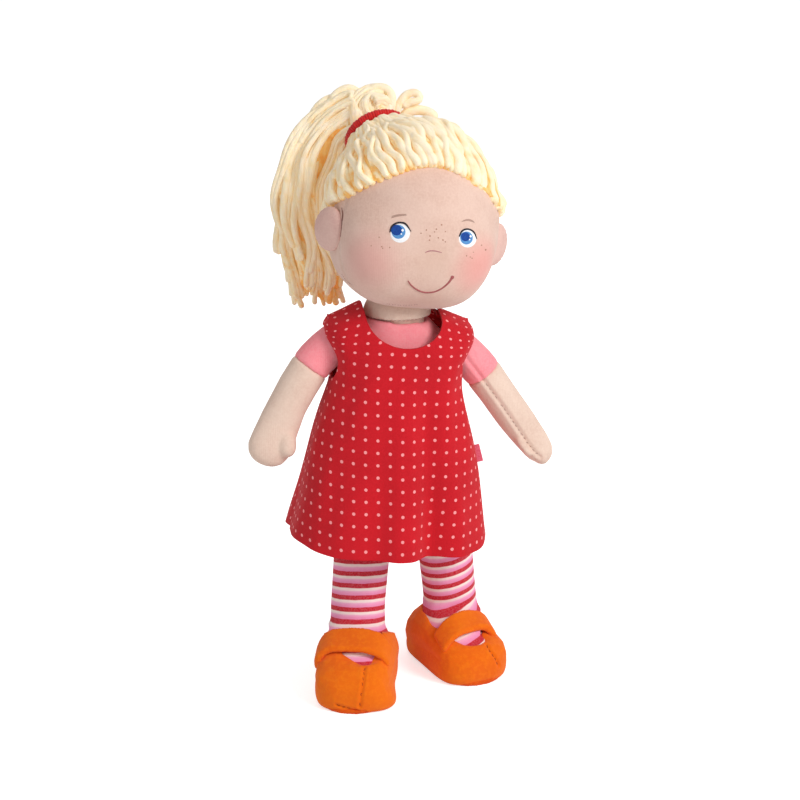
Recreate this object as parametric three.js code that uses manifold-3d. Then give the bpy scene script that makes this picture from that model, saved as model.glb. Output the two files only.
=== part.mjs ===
// A stuffed cloth doll with yarn hair in a ponytail, a dotted pinafore dress and strap slippers.
// Millimetres, +Z up, the doll's front faces -Y and its left side is +X.
// It stands on its soles at Z zero, and the origin is the middle of its bounding box's base.
import * as THREE from 'three';
import { mergeVertices } from 'three/addons/utils/BufferGeometryUtils.js';
import Module from 'manifold-3d';

const wasm = await Module();
wasm.setup();

// Clearances
const seamGap = 0.3;
const jointGap = 0.5;
const cutOverrun = 6;

// Heights above the soles, on the body's middle line
const hipHeight = 95;
const hemHeight = 74;
const shoulderHeight = 172;
const neckRise = 16;
const strapRise = 15;
const neckBaseHeight = shoulderHeight + neckRise;
const strapTopHeight = shoulderHeight + strapRise;

// The doll stands a little slumped, its left side lower than its right
const slouchShare = 0.09;
const hemSlouchShare = 0.05;
const pelvisX = 2;
const bodyX = -2.5;
const bodyY = 5;

// Torso
const torsoHalfWidth = 33;
const torsoHalfDepth = 21.5;
const hipRollRadius = 2.6;
const hipEase = 0.8;

// Neck and head
const neckRadius = 17.4;
const neckPlugRadius = 13.6;
const neckSeatDepth = 6;
const neckLip = 1.9;
const headTilt = THREE.MathUtils.degToRad(7);
const headHalfWidth = 41;
const headHalfDepth = 38;
const headHalfHeight = 44;
const headRise = 52;
const headSideShift = 2.4;
const headForward = 3;
const headCrownPower = 1.95;
const headJawPower = 3;

// Ears
const earHeight = 21;
const earWidth = 18;
const earThickness = 6.5;
const earDrop = 13;
const earSetBack = 3;
const earSweep = THREE.MathUtils.degToRad(55);

// Hair
const tieDirectionShares = [-0.36, 0.62, 0.7];
const tieLeanShares = [-0.22, 0.8, 0.56];
const tieStandOff = 8;
const tieRingRadius = 14.6;
const tieBandWidth = 4.4;
const capThickness = 5.8;
const capHemThickness = 3.6;
const capEase = 0.8;
const strandRelief = 1.7;
const strandCount = 28;
const hairlineMiddle = THREE.MathUtils.degToRad(0.75);
const hairlineSwing = THREE.MathUtils.degToRad(40.5);
const hairlineDip = THREE.MathUtils.degToRad(4.75);
const hairlineEarLift = THREE.MathUtils.degToRad(9);
const hairlineEarTurn = THREE.MathUtils.degToRad(98);
const hairlineEarSpan = THREE.MathUtils.degToRad(21);
const lockCount = 16;
const lockRelief = 2.4;
const tailOut = 46.8;
const tailBack = 52;
const tailRise = 40.6;
const tailHalfWidth = 20;
const tailHalfDepth = 13.5;
const tailEase = 0.5;

// Arms
const armRadius = 9.6;
const sleeveReach = 17.3;
const shoulderHalfSpan = 32.5;
const cuffSpread = 46;
const cuffDrop = 14;
const handSpread = 72;
const handDrop = 62;
const handHalfWidth = 10.6;
const handHalfThickness = 6.8;
const thumbLength = 15;
const thumbRadius = 4.4;

// Legs and feet
const legRadius = 13.6;
const hipHalfSpan = 17;
const footHalfSpan = 26;
const rightStep = -15;
const leftStep = 7;
const rightFootTurnOut = THREE.MathUtils.degToRad(20);
const leftFootTurnOut = THREE.MathUtils.degToRad(14);
const leftFootShift = -3.5;
const footHalfWidth = 16.5;
const toeReach = 41;
const heelReach = 17;
const instepHeight = 34;

// Shoes
const soleThickness = 2.6;
const shoeWall = 2;
const shoeEase = 0.5;
const strapThickness = 1.8;
const strapWidth = 10.5;
const patchThickness = 0.9;
const throatHalfWidth = 12.5;
const throatReach = 30;
const strapSetForward = 24;
const strapSlant = 3;

// Dress
const clothThickness = 1;
const hemHalfWidth = 48.5;
const hemHalfDepth = 41.5;
const flareShift = -6;
const foldRelief = 2.6;
const foldCount = 9;
const armholeRadius = 17;
const armholeCentreX = 46;
const armholeDrop = 3;
const armholeCentreHeight = shoulderHeight - armholeDrop;
const neckHoleHalfWidth = 19.5;
const neckHoleRise = 6;
const frontNeckDepth = 11;
const backNeckDepth = 8;
const strapLap = 6;
const sideLap = 1.2;
const closureThickness = 0.8;
const closureWidth = 10;
const tagWidth = 4.2;
const tagHeight = 9.5;
const tagThickness = 0.9;
const tagTop = 121;

const material = (color, roughness) => new THREE.MeshStandardMaterial({ color, roughness, metalness: 0 });
const skinCloth = () => material(0xe9c9b4, 0.9);
const shirtCloth = () => material(0xf3929a, 0.9);
const yarn = () => material(0xf4deb4, 0.95);
const stripedCloth = () => material(0xe9899f, 0.9);
const dressCloth = () => material(0xc8202c, 0.85);
const shoeCloth = () => material(0xee7312, 0.9);
const elastic = () => material(0xd0202a, 0.8);
const hookAndLoop = () => material(0xf0a0a6, 0.95);

// Solids

function solidOf(geometry) {
  const bare = geometry.clone();
  bare.deleteAttribute('normal');
  bare.deleteAttribute('uv');
  const merged = mergeVertices(bare);
  return new wasm.Manifold(new wasm.Mesh({
    numProp: 3,
    vertProperties: new Float32Array(merged.attributes.position.array),
    triVerts: new Uint32Array(merged.index.array),
  }));
}

function geometryOf(solid) {
  const mesh = solid.getMesh();
  const geometry = new THREE.BufferGeometry();
  geometry.setAttribute('position', new THREE.BufferAttribute(new Float32Array(mesh.vertProperties), 3));
  geometry.setIndex(new THREE.BufferAttribute(new Uint32Array(mesh.triVerts), 1));
  geometry.computeVertexNormals();
  return geometry;
}

const signedPower = (value, power) => Math.sign(value) * Math.abs(value) ** power;

// One closed outline of a section, anticlockwise about side x up
function outline(centre, side, up, halfSide, halfUp, power, count) {
  const points = [];
  for (let i = 0; i < count; i += 1) {
    const angle = (2 * Math.PI * i) / count;
    points.push(centre.clone()
      .addScaledVector(side, halfSide * signedPower(Math.cos(angle), 2 / power))
      .addScaledVector(up, halfUp * signedPower(Math.sin(angle), 2 / power)));
  }
  return points;
}

// A skin over a row of outlines, closed at both ends
function loft(rings) {
  const count = rings[0].length;
  const points = rings.flat();
  const index = [];
  for (let j = 0; j < rings.length - 1; j += 1) {
    for (let i = 0; i < count; i += 1) {
      const a = j * count + i;
      const b = j * count + ((i + 1) % count);
      index.push(a, b, b + count, a, b + count, a + count);
    }
  }
  const lastStart = (rings.length - 1) * count;
  const middleOf = (ring) => ring.reduce((sum, p) => sum.add(p), new THREE.Vector3()).divideScalar(count);
  points.push(middleOf(rings[0]), middleOf(rings.at(-1)));
  for (let i = 0; i < count; i += 1) {
    const next = (i + 1) % count;
    index.push(points.length - 2, next, i);
    index.push(points.length - 1, lastStart + i, lastStart + next);
  }
  return geometryFrom(points, index);
}

// A closed sheet between an outer and an inner grid of points; wrapped grids close on themselves
function sheet(outer, inner, wrapped) {
  const rows = outer.length;
  const columns = outer[0].length;
  const points = [...outer.flat(), ...inner.flat()];
  const half = rows * columns;
  const index = [];
  const quad = (a, b, c, d) => index.push(a, b, c, a, c, d);
  const steps = wrapped ? columns : columns - 1;
  for (let j = 0; j < rows - 1; j += 1) {
    for (let i = 0; i < steps; i += 1) {
      const a = j * columns + i;
      const b = j * columns + ((i + 1) % columns);
      quad(a, b, b + columns, a + columns);
      quad(half + a, half + a + columns, half + b + columns, half + b);
    }
  }
  for (let i = 0; i < steps; i += 1) {
    const b = (i + 1) % columns;
    const last = (rows - 1) * columns;
    quad(i, half + i, half + b, b);
    quad(last + i, last + b, half + last + b, half + last + i);
  }
  for (let j = 0; !wrapped && j < rows - 1; j += 1) {
    const left = j * columns;
    const right = left + columns - 1;
    quad(left, left + columns, half + left + columns, half + left);
    quad(right, half + right, half + right + columns, right + columns);
  }
  return geometryFrom(points, index);
}

function geometryFrom(points, index) {
  const geometry = new THREE.BufferGeometry();
  const values = points.flatMap((p) => [p.x, p.y, p.z]);
  geometry.setAttribute('position', new THREE.Float32BufferAttribute(values, 3));
  geometry.setIndex(index);
  geometry.computeVertexNormals();
  return geometry;
}

function ball(centre, radius, widthSegments = 20, heightSegments = 12) {
  const geometry = new THREE.SphereGeometry(radius, widthSegments, heightSegments);
  geometry.translate(centre.x, centre.y, centre.z);
  return solidOf(geometry);
}

function named(name, geometry, finish) {
  const mesh = new THREE.Mesh(geometry, finish);
  mesh.name = name;
  return mesh;
}

const xAxis = new THREE.Vector3(1, 0, 0);
const yAxis = new THREE.Vector3(0, 1, 0);
const zAxis = new THREE.Vector3(0, 0, 1);

// How much of the slouch a height takes: none at the hips, all of it at the shoulders
function slouchAt(height) {
  return THREE.MathUtils.smoothstep(height, hemHeight, shoulderHeight);
}

function slumpedHeight(x, height) {
  const share = slouchShare * slouchAt(height) + hemSlouchShare * (1 - slouchAt(height));
  return height - share * (x - bodyX);
}

function slump(geometry) {
  const position = geometry.attributes.position;
  for (let i = 0; i < position.count; i += 1) {
    position.setZ(i, slumpedHeight(position.getX(i), position.getZ(i)));
  }
  return geometry;
}

// Torso: flat across the hip seam, full at the belly, narrow round the neck

const torsoSectionShares = [
  [0, 0.97, 0.12],
  [0.035, 0.99, 0.14],
  [0.07, 1, 0.22],
  [0.18, 1, 0.59],
  [0.34, 0.96, 0.98],
  [0.52, 0.88, 1],
  [0.7, 0.82, 0.93],
  [0.83, 0.85, 0.76],
  [0.91, 0.76, 0.72],
  [0.97, 0.57, 0.73],
  [1, 0.5, 0.72],
];
const torsoPower = 2.4;
const torsoLength = neckBaseHeight - hipHeight;
const torsoSlouchShares = [0, 0.8];
const torsoSides = 22;

function torsoSkin() {
  const rings = torsoSectionShares.map(([height, width, depth]) => {
    const x = THREE.MathUtils.lerp(pelvisX, bodyX, Math.min(1, height * 2));
    const centre = new THREE.Vector3(x, bodyY, hipHeight + height * torsoLength);
    const halfWidth = width * torsoHalfWidth;
    const halfDepth = depth * torsoHalfDepth;
    return outline(centre, xAxis, yAxis, halfWidth, halfDepth, torsoPower, torsoSides);
  });
  const geometry = loft(rings);
  const position = geometry.attributes.position;
  for (let i = 0; i < position.count; i += 1) {
    const height = position.getZ(i);
    const rise = (height - hipHeight) / torsoLength;
    const share = slouchShare * THREE.MathUtils.smoothstep(rise, ...torsoSlouchShares);
    position.setZ(i, height - share * (position.getX(i) - bodyX));
  }
  return solidOf(geometry);
}

const neckPivot = new THREE.Vector3(bodyX, bodyY, neckBaseHeight);
const shoulderPivot = (side) => new THREE.Vector3(
  bodyX + side * shoulderHalfSpan,
  bodyY,
  slumpedHeight(bodyX + side * shoulderHalfSpan, shoulderHeight),
);
const hipPivot = (side) => new THREE.Vector3(pelvisX + side * hipHalfSpan, bodyY, hipHeight);

// The neck is a dome on a short plug, so that the head can roll on it
function neckGeometry(growth) {
  const plug = neckPlugRadius + growth;
  const dome = neckRadius + growth;
  const lip = neckLip - growth;
  const profile = [
    new THREE.Vector2(0, -neckSeatDepth - growth),
    new THREE.Vector2(plug, -neckSeatDepth - growth),
    new THREE.Vector2(plug, lip),
  ];
  const steps = 6;
  const start = Math.asin(lip / dome);
  for (let i = 0; i <= steps; i += 1) {
    const angle = THREE.MathUtils.lerp(start, Math.PI / 2, i / steps);
    profile.push(new THREE.Vector2(i === steps ? 0 : dome * Math.cos(angle), dome * Math.sin(angle)));
  }
  const geometry = new THREE.LatheGeometry(profile, 24);
  geometry.rotateX(Math.PI / 2);
  return geometry;
}

function makeTorso() {
  let solid = torsoSkin();
  const seat = neckGeometry(seamGap);
  seat.translate(neckPivot.x, neckPivot.y, neckPivot.z);
  solid = solid.subtract(solidOf(seat));
  for (const side of [-1, 1]) {
    solid = solid.subtract(ball(shoulderPivot(side), armRadius + jointGap));
  }
  const groove = new THREE.CylinderGeometry(
    hipRollRadius + hipEase,
    hipRollRadius + hipEase,
    2 * (torsoHalfWidth + cutOverrun),
    20,
  );
  groove.rotateZ(Math.PI / 2);
  groove.translate(pelvisX, bodyY, hipHeight);
  solid = solid.subtract(solidOf(groove));
  return named('torso', geometryOf(solid), shirtCloth());
}

function makeNeck() {
  const geometry = neckGeometry(0);
  const mesh = named('neck', geometryOf(solidOf(geometry)), skinCloth());
  mesh.position.copy(neckPivot);
  return mesh;
}

// Head: its group turns on the neck's pivot and leans to the doll's left

const headGroup = new THREE.Group();
headGroup.position.copy(neckPivot);
headGroup.rotation.y = headTilt;
const headCentre = new THREE.Vector3(headSideShift, -headForward, headRise);

// The jaw is fuller than the crown: where one form goes over into the other
const headBlendShares = [-0.45, 0.25];

function headReach(direction) {
  const crown = THREE.MathUtils.smoothstep(direction.z, ...headBlendShares);
  const power = THREE.MathUtils.lerp(headJawPower, headCrownPower, crown);
  const sum = Math.abs(direction.x / headHalfWidth) ** power
    + Math.abs(direction.y / headHalfDepth) ** power
    + Math.abs(direction.z / headHalfHeight) ** power;
  return sum ** (-1 / power);
}

const onHead = (direction, offset) => headCentre.clone()
  .addScaledVector(direction, headReach(direction) + offset);

function headSkin(offset) {
  const geometry = new THREE.SphereGeometry(1, 28, 16);
  geometry.rotateX(Math.PI / 2);
  const position = geometry.attributes.position;
  const direction = new THREE.Vector3();
  for (let i = 0; i < position.count; i += 1) {
    direction.fromBufferAttribute(position, i).normalize();
    const point = onHead(direction, offset);
    position.setXYZ(i, point.x, point.y, point.z);
  }
  return solidOf(geometry);
}

function makeHead() {
  const solid = headSkin(0).subtract(ball(new THREE.Vector3(), neckRadius + jointGap, 24, 14));
  return named('head', geometryOf(solid), skinCloth());
}

function earSkin(side, growth) {
  const outward = new THREE.Vector3(side * Math.cos(earSweep), Math.sin(earSweep), 0);
  const seat = new THREE.Vector3(side * headHalfWidth, 0, 0);
  const centre = headCentre.clone().add(seat)
    .add(new THREE.Vector3(-side * earThickness / 2, earSetBack, -earDrop))
    .addScaledVector(outward, earWidth / 4);
  const geometry = new THREE.SphereGeometry(1, 16, 10);
  geometry.scale(earWidth / 2 + growth, earThickness / 2 + growth, earHeight / 2 + growth);
  geometry.rotateZ(side > 0 ? earSweep : Math.PI - earSweep);
  geometry.translate(centre.x, centre.y, centre.z);
  return solidOf(geometry);
}

function makeEar(name, side) {
  const solid = earSkin(side, 0).subtract(headSkin(seamGap));
  return named(name, geometryOf(solid), skinCloth());
}

// Hair

const tieDirection = new THREE.Vector3(...tieDirectionShares).normalize();
const tieLean = new THREE.Vector3(...tieLeanShares).normalize();
const tieCentre = onHead(tieDirection, tieStandOff);
const tailRootRadius = tieRingRadius - tieBandWidth / 2 - tailEase;
const tieSide = new THREE.Vector3().crossVectors(tieLean, zAxis).normalize();
const tieUp = new THREE.Vector3().crossVectors(tieSide, tieLean).normalize();

// Where the strands are sewn on: high over the forehead, round the ears, low at the nape
function hairlineDirection(turn) {
  const aside = Math.acos(Math.cos(turn));
  const overEar = Math.exp(-(((aside - hairlineEarTurn) / hairlineEarSpan) ** 2));
  const lift = hairlineMiddle + hairlineSwing * Math.cos(turn) + hairlineDip * Math.cos(2 * turn)
    + hairlineEarLift * overEar;
  return new THREE.Vector3(
    Math.sin(turn) * Math.cos(lift),
    -Math.cos(turn) * Math.cos(lift),
    Math.sin(lift),
  );
}

// The point of the gathered edge under the tie that a strand runs to
function gatherPoint(direction, radius, sink) {
  const flat = direction.clone().projectOnPlane(tieLean).normalize();
  return tieCentre.clone().addScaledVector(flat, radius).addScaledVector(tieLean, -sink);
}

// Along a strand from hairline to tie: where it swells, and where it starts to draw in
const capSwellShares = [0.12, 1.25];
const gatherStartShare = 0.55;

function makeHairCap() {
  const rows = 6;
  const columns = strandCount * 3;
  const gatherRadius = tailRootRadius + seamGap;
  const sink = tieBandWidth / 2 + seamGap;
  const outer = [];
  const inner = [];
  for (let j = 0; j <= rows; j += 1) {
    const along = j / rows;
    const outerRow = [];
    const innerRow = [];
    for (let i = 0; i < columns; i += 1) {
      const start = hairlineDirection((2 * Math.PI * i) / columns);
      const end = gatherPoint(start, gatherRadius, sink).sub(headCentre);
      const endReach = end.length();
      const endDirection = end.normalize();
      const angle = start.angleTo(endDirection);
      const direction = start.clone().multiplyScalar(Math.sin((1 - along) * angle))
        .addScaledVector(endDirection, Math.sin(along * angle)).normalize();
      const scalp = headReach(direction);
      const swell = Math.sin(Math.PI * Math.min(1, capSwellShares[0] + capSwellShares[1] * along)) ** 0.5;
      const relief = i % 3 === 0 ? -strandRelief : 0;
      const thickness = THREE.MathUtils.lerp(capHemThickness, capThickness, swell) + relief;
      const gather = THREE.MathUtils.smoothstep(along, gatherStartShare, 1);
      const reach = THREE.MathUtils.lerp(scalp + thickness, endReach + relief / 2, gather);
      outerRow.push(headCentre.clone().addScaledVector(direction, reach));
      const least = Math.min(scalp + capEase, reach - seamGap);
      innerRow.push(headCentre.clone().addScaledVector(direction, least));
    }
    outer.push(outerRow);
    inner.push(innerRow);
  }
  const solid = solidOf(sheet(outer, inner, true))
    .subtract(earSkin(-1, seamGap))
    .subtract(earSkin(1, seamGap));
  return named('hair_cap', geometryOf(solid), yarn());
}

function makeHairTie() {
  const geometry = new THREE.TorusGeometry(tieRingRadius, tieBandWidth / 2, 6, 26);
  const basis = new THREE.Matrix4().makeBasis(tieSide, tieUp, tieLean.clone().negate());
  geometry.applyMatrix4(basis);
  const mesh = named('hair_tie', geometryOf(solidOf(geometry)), elastic());
  mesh.position.copy(tieCentre);
  return mesh;
}

// The tail runs through the tie, rises a little and falls behind the head to the doll's right.
// Each row is a place on its middle line, as shares of its reach, and its half width and depth.
const tailRowShares = [
  [0.5, 0.82, 1.02, 0.84, 0.84],
  [0.84, 0.96, 0.68, 0.95, 0.98],
  [1, 1, 0.05, 1, 1],
  [0.97, 0.9, -0.6, 0.86, 0.92],
  [0.9, 0.8, -1.2, 0.62, 0.7],
];
// Along the tie's lean: how far out, and how wide, the gathered root is, as shares of the ring
const tailRootShares = [[-0.16, 0.98], [0.15, 1], [0.58, 0.78], [0.95, 1.12]];
const tailSteps = 13;
const goldenTurn = 2.4;
const tailAwayShares = [-0.35, 0.94, 0];
const lockFallShare = 0.09;
const lockStartShares = [0.2, 0.5];

function makePonytail() {
  const stations = [];
  for (const [out, wide] of tailRootShares) {
    const half = tailRootRadius * wide;
    stations.push({ at: tieCentre.clone().addScaledVector(tieLean, tieRingRadius * out), half, deep: half });
  }
  for (const [out, back, rise, wide, deep] of tailRowShares) {
    const at = headCentre.clone().add(new THREE.Vector3(-tailOut * out, tailBack * back, tailRise * rise));
    stations.push({ at, half: tailHalfWidth * wide, deep: tailHalfDepth * deep });
  }
  const middle = new THREE.CatmullRomCurve3(stations.map((station) => station.at));
  const last = stations.length - 1;
  const sizeAt = (t, key) => {
    const whole = Math.min(last - 1, Math.floor(t * last));
    return THREE.MathUtils.lerp(stations[whole][key], stations[whole + 1][key], t * last - whole);
  };
  const away = new THREE.Vector3(...tailAwayShares);
  const columns = lockCount * 3;
  const rings = [];
  for (let j = 0; j <= tailSteps; j += 1) {
    const ring = [];
    for (let i = 0; i < columns; i += 1) {
      const lock = Math.floor(i / 3);
      const fall = 1 - lockFallShare * (1 + Math.sin(lock * goldenTurn)) * (j / tailSteps);
      const t = Math.min(1, (j / tailSteps) * fall);
      const tangent = middle.getTangent(t);
      const deepWay = away.clone().projectOnPlane(tangent).normalize();
      const wideWay = new THREE.Vector3().crossVectors(deepWay, tangent);
      const relief = i % 3 === 0 ? lockRelief * THREE.MathUtils.smoothstep(t, ...lockStartShares) : 0;
      const angle = (2 * Math.PI * i) / columns;
      ring.push(middle.getPoint(t)
        .addScaledVector(wideWay, (sizeAt(t, 'half') - relief) * Math.cos(angle))
        .addScaledVector(deepWay, (sizeAt(t, 'deep') - relief) * Math.sin(angle)));
    }
    rings.push(ring);
  }
  return named('ponytail', geometryOf(solidOf(loft(rings))), yarn());
}

// Arms: a sleeve that starts in a ball at the shoulder, and a forearm with a mitten hand

const armPower = 2.1;
const armSides = 16;
const bicepDropShare = 0.42;
const sleeveShares = [0.35, 0.7, 1];
// Below the cuff: shares of the way to the fingertips outward and down, and of the radius forward
const forearmShares = [[0, 0, 0], [0.4, 0.35, 0.2], [0.72, 0.68, 0.4], [1, 1, 0.6]];

function armSpine(side) {
  const shoulder = shoulderPivot(side);
  const place = (spread, drop, forward) => new THREE.Vector3(
    bodyX + side * spread,
    bodyY - forward,
    slumpedHeight(bodyX + side * spread, shoulderHeight - drop),
  );
  const forearm = forearmShares.map(([outward, down, forward]) => place(
    THREE.MathUtils.lerp(cuffSpread, handSpread, outward),
    THREE.MathUtils.lerp(cuffDrop, handDrop, down),
    armRadius * forward,
  ));
  const bicep = place((shoulderHalfSpan + cuffSpread) / 2, cuffDrop * bicepDropShare, 0);
  return new THREE.CatmullRomCurve3([shoulder, bicep, ...forearm]);
}

function armRing(spine, t, halfWide, halfDeep, shift = 0) {
  const tangent = spine.getTangentAt(t);
  const deepWay = yAxis.clone().projectOnPlane(tangent).normalize();
  const wideWay = new THREE.Vector3().crossVectors(deepWay, tangent);
  const centre = spine.getPointAt(t).addScaledVector(tangent, shift);
  return outline(centre, wideWay, deepWay, halfWide, halfDeep, armPower, armSides);
}

function sleeveSkin(side, growth) {
  const spine = armSpine(side);
  const half = armRadius + growth;
  const rings = [];
  const capSteps = 5;
  for (let j = 1; j <= capSteps; j += 1) {
    const angle = (Math.PI / 2) * (j / capSteps);
    const radius = half * Math.sin(angle);
    rings.push(armRing(spine, 0, radius, radius, -half * Math.cos(angle)));
  }
  const cuff = sleeveReach / spine.getLength();
  for (const share of sleeveShares) {
    rings.push(armRing(spine, cuff * share, half, half));
  }
  return solidOf(loft(rings));
}

function makeSleeve(name, side) {
  return named(name, geometryOf(sleeveSkin(side, 0)), shirtCloth());
}

// Forearm and mitten from the cuff to the fingertips: place along, half width and half thickness
const handShares = [
  [0, 0.9, 1],
  [0.2, 0.9, 1],
  [0.42, 0.9, 0.98],
  [0.6, 0.94, 0.95],
  [0.75, 1.02, 0.96],
  [0.86, 1.02, 0.94],
  [0.94, 0.84, 0.78],
  [0.98, 0.56, 0.55],
  [1, 0.24, 0.24],
];
const wristDepthShare = 0.95;
const palmShares = [0.2, 0.7];
// The thumb: where its palm lies on the arm, its way inward and forward, its root and its tip
const thumbPlaceShare = 0.8;
const thumbWayShares = [0.86, 0.5];
const thumbRootShares = [0.45, 0.35];
const thumbTipShares = [0.42, 0.75];
const thumbShares = [[0, 0.5], [0.15, 0.9], [0.45, 1], [0.75, 0.92], [0.92, 0.6], [1, 0.2]];

function makeHand(name, side) {
  const spine = armSpine(side);
  const start = (sleeveReach + seamGap) / spine.getLength();
  const rings = handShares.map(([along, wide, deep]) => {
    const flat = THREE.MathUtils.smoothstep(along, ...palmShares);
    const halfDeep = THREE.MathUtils.lerp(armRadius * wristDepthShare, handHalfThickness, flat);
    return armRing(spine, THREE.MathUtils.lerp(start, 1, along), handHalfWidth * wide, halfDeep * deep);
  });
  const palm = spine.getPointAt(thumbPlaceShare);
  const tangent = spine.getTangentAt(thumbPlaceShare);
  const inward = new THREE.Vector3(-side * thumbWayShares[0], -thumbWayShares[1], 0)
    .projectOnPlane(tangent)
    .normalize();
  const root = palm.clone()
    .addScaledVector(inward, handHalfWidth * thumbRootShares[0])
    .addScaledVector(tangent, -thumbLength * thumbRootShares[1]);
  const tip = root.clone()
    .addScaledVector(inward, thumbLength * thumbTipShares[0])
    .addScaledVector(tangent, thumbLength * thumbTipShares[1]);
  const thumbLine = new THREE.LineCurve3(root, tip);
  const thumbRings = thumbShares.map(([along, wide]) => (
    armRing(thumbLine, along, thumbRadius * wide, thumbRadius * wide)
  ));
  const solid = solidOf(loft(rings)).add(solidOf(loft(thumbRings)));
  return named(name, geometryOf(solid), skinCloth());
}

// Legs: flat in the hip seam, a round calf, and a foot that lies in the slipper

// Height from ankle to hip, then half width and half depth as shares of the leg's radius
const legShares = [
  [0, 1, 1],
  [0.3, 1, 1],
  [0.6, 1.03, 1.03],
  [0.78, 1.06, 0.86],
  [0.9, 1.06, 0.37],
  [0.95, 1.05, 0.23],
  [1, 1.02, 0.19],
];
const legSides = 18;
const ankleHeightShare = 0.62;
const ankleHeight = instepHeight * ankleHeightShare;
// The rounded crown that lies in the hip seam: rise and half depth as shares of its radius
const hipCrownShares = [[0.5, 0.86], [0.8, 0.6], [0.97, 0.24]];
const stepOf = (side) => (side > 0 ? leftStep : rightStep);
const anklePoint = (side) => new THREE.Vector3(
  pelvisX + side * footHalfSpan,
  bodyY + stepOf(side),
  ankleHeight,
);

function legSkin(side, growth) {
  const ankle = anklePoint(side);
  const hip = hipPivot(side);
  const rings = legShares.map(([rise, wide, deep]) => {
    const centre = ankle.clone().lerp(hip, rise);
    return outline(centre, xAxis, yAxis, legRadius * wide + growth, legRadius * deep + growth, 2, legSides);
  });
  for (const [rise, deep] of hipCrownShares) {
    const centre = hip.clone().setZ(hip.z + (hipRollRadius + growth) * rise);
    const halfDepth = (hipRollRadius + growth) * deep;
    rings.push(outline(centre, xAxis, yAxis, legRadius + growth, halfDepth, 2, legSides));
  }
  return solidOf(loft(rings));
}

// The foot's form from heel to toe: place along, half width and height
const footShares = [
  [0, 0.36, 0.4],
  [0.05, 0.7, 0.68],
  [0.15, 0.93, 0.88],
  [0.3, 1.01, 1.02],
  [0.45, 1.01, 0.98],
  [0.58, 1.01, 0.86],
  [0.7, 1, 0.72],
  [0.82, 0.98, 0.6],
  [0.91, 0.86, 0.47],
  [0.97, 0.6, 0.33],
  [1, 0.3, 0.2],
];
const footSides = 16;

function footPoint(along, wide, high, angle, growth, floor, sink = 0) {
  const forward = THREE.MathUtils.lerp(-heelReach - growth, toeReach + growth, along);
  const halfHigh = (instepHeight * high + growth) / 2;
  const across = signedPower(Math.cos(angle), 0.85);
  const upward = signedPower(Math.sin(angle), Math.sin(angle) > 0 ? 0.9 : 0.5);
  return new THREE.Vector3(
    (footHalfWidth * wide + growth) * across,
    -forward,
    floor + halfHigh + (upward > 0 ? halfHigh : halfHigh + sink) * upward,
  );
}

function footForm(growth, floor, sink = 0) {
  const rings = footShares.map(([along, wide, high]) => {
    const ring = [];
    for (let i = 0; i < footSides; i += 1) {
      const angle = (2 * Math.PI * i) / footSides;
      ring.push(footPoint(along, wide, high, angle, growth, floor, sink));
    }
    return ring;
  });
  return loft(rings);
}

function placeFoot(geometry, side) {
  const ankle = anklePoint(side);
  geometry.rotateZ(side > 0 ? leftFootTurnOut : -rightFootTurnOut);
  geometry.translate(ankle.x + (side > 0 ? leftFootShift : 0), ankle.y, 0);
  return geometry;
}

const footFloor = soleThickness + 2 * seamGap;

function makeLeg(name, side) {
  const foot = solidOf(placeFoot(footForm(0, footFloor), side));
  return named(name, geometryOf(legSkin(side, 0).add(foot)), stripedCloth());
}

// Slippers

const throatRiseShare = 1.6;
const upperGrowth = shoeEase + shoeWall;
const upperFloor = soleThickness + seamGap;

function makeShoeUpper(name, side) {
  const outer = solidOf(placeFoot(footForm(upperGrowth, upperFloor), side));
  const inner = solidOf(placeFoot(footForm(shoeEase, footFloor, cutOverrun), side));
  const throat = new THREE.CylinderGeometry(throatHalfWidth, throatHalfWidth, 2 * instepHeight, 24);
  throat.rotateX(Math.PI / 2);
  throat.scale(1, throatReach / 2 / throatHalfWidth, 1);
  throat.translate(0, -throatReach / 2, instepHeight * throatRiseShare);
  const open = solidOf(placeFoot(throat, side));
  const solid = outer.subtract(inner).subtract(open).subtract(legSkin(side, shoeEase));
  const parts = solid.decompose().sort((a, b) => b.volume() - a.volume());
  return named(name, geometryOf(parts[0]), shoeCloth());
}

// The sole rounds in under the upper: height, and how far it draws in, as shares of its thickness
const soleRollShares = [[0, 1.6], [0.35, 1.05], [1, 0.5]];

function makeShoeSole(name, side) {
  const rim = footShares.map(([along, wide]) => ({
    half: footHalfWidth * wide + upperGrowth,
    forward: THREE.MathUtils.lerp(-heelReach - upperGrowth, toeReach + upperGrowth, along),
  }));
  const plan = (height, inset) => {
    const points = rim.map(({ half, forward }) => new THREE.Vector3(half - inset, -forward, height));
    const back = rim.map(({ half, forward }) => new THREE.Vector3(inset - half, -forward, height)).reverse();
    return [...points, ...back].reverse();
  };
  const rings = soleRollShares.map(([height, inset]) => plan(soleThickness * height, soleThickness * inset));
  return named(name, placeFoot(loft(rings), side), shoeCloth());
}

function footSectionAt(forward, growth) {
  const along = (forward + heelReach + growth) / (toeReach + heelReach + 2 * growth);
  const next = Math.max(1, footShares.findIndex((row) => row[0] >= along));
  const from = footShares[next - 1];
  const to = footShares[next];
  const t = (along - from[0]) / (to[0] - from[0]);
  return {
    along,
    wide: THREE.MathUtils.lerp(from[1], to[1], t),
    high: THREE.MathUtils.lerp(from[2], to[2], t),
  };
}

// A point of the strap: around goes from its sewn inner end to its free outer end
const strapInnerEnd = THREE.MathUtils.degToRad(158);
const strapFreeEnd = THREE.MathUtils.degToRad(-2);
const strapRoundingShare = 0.8;
const strapTipShare = 0.15;
const strapRaiseShare = 0.6;
const patchSpanShares = [0.74, 0.9];

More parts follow.
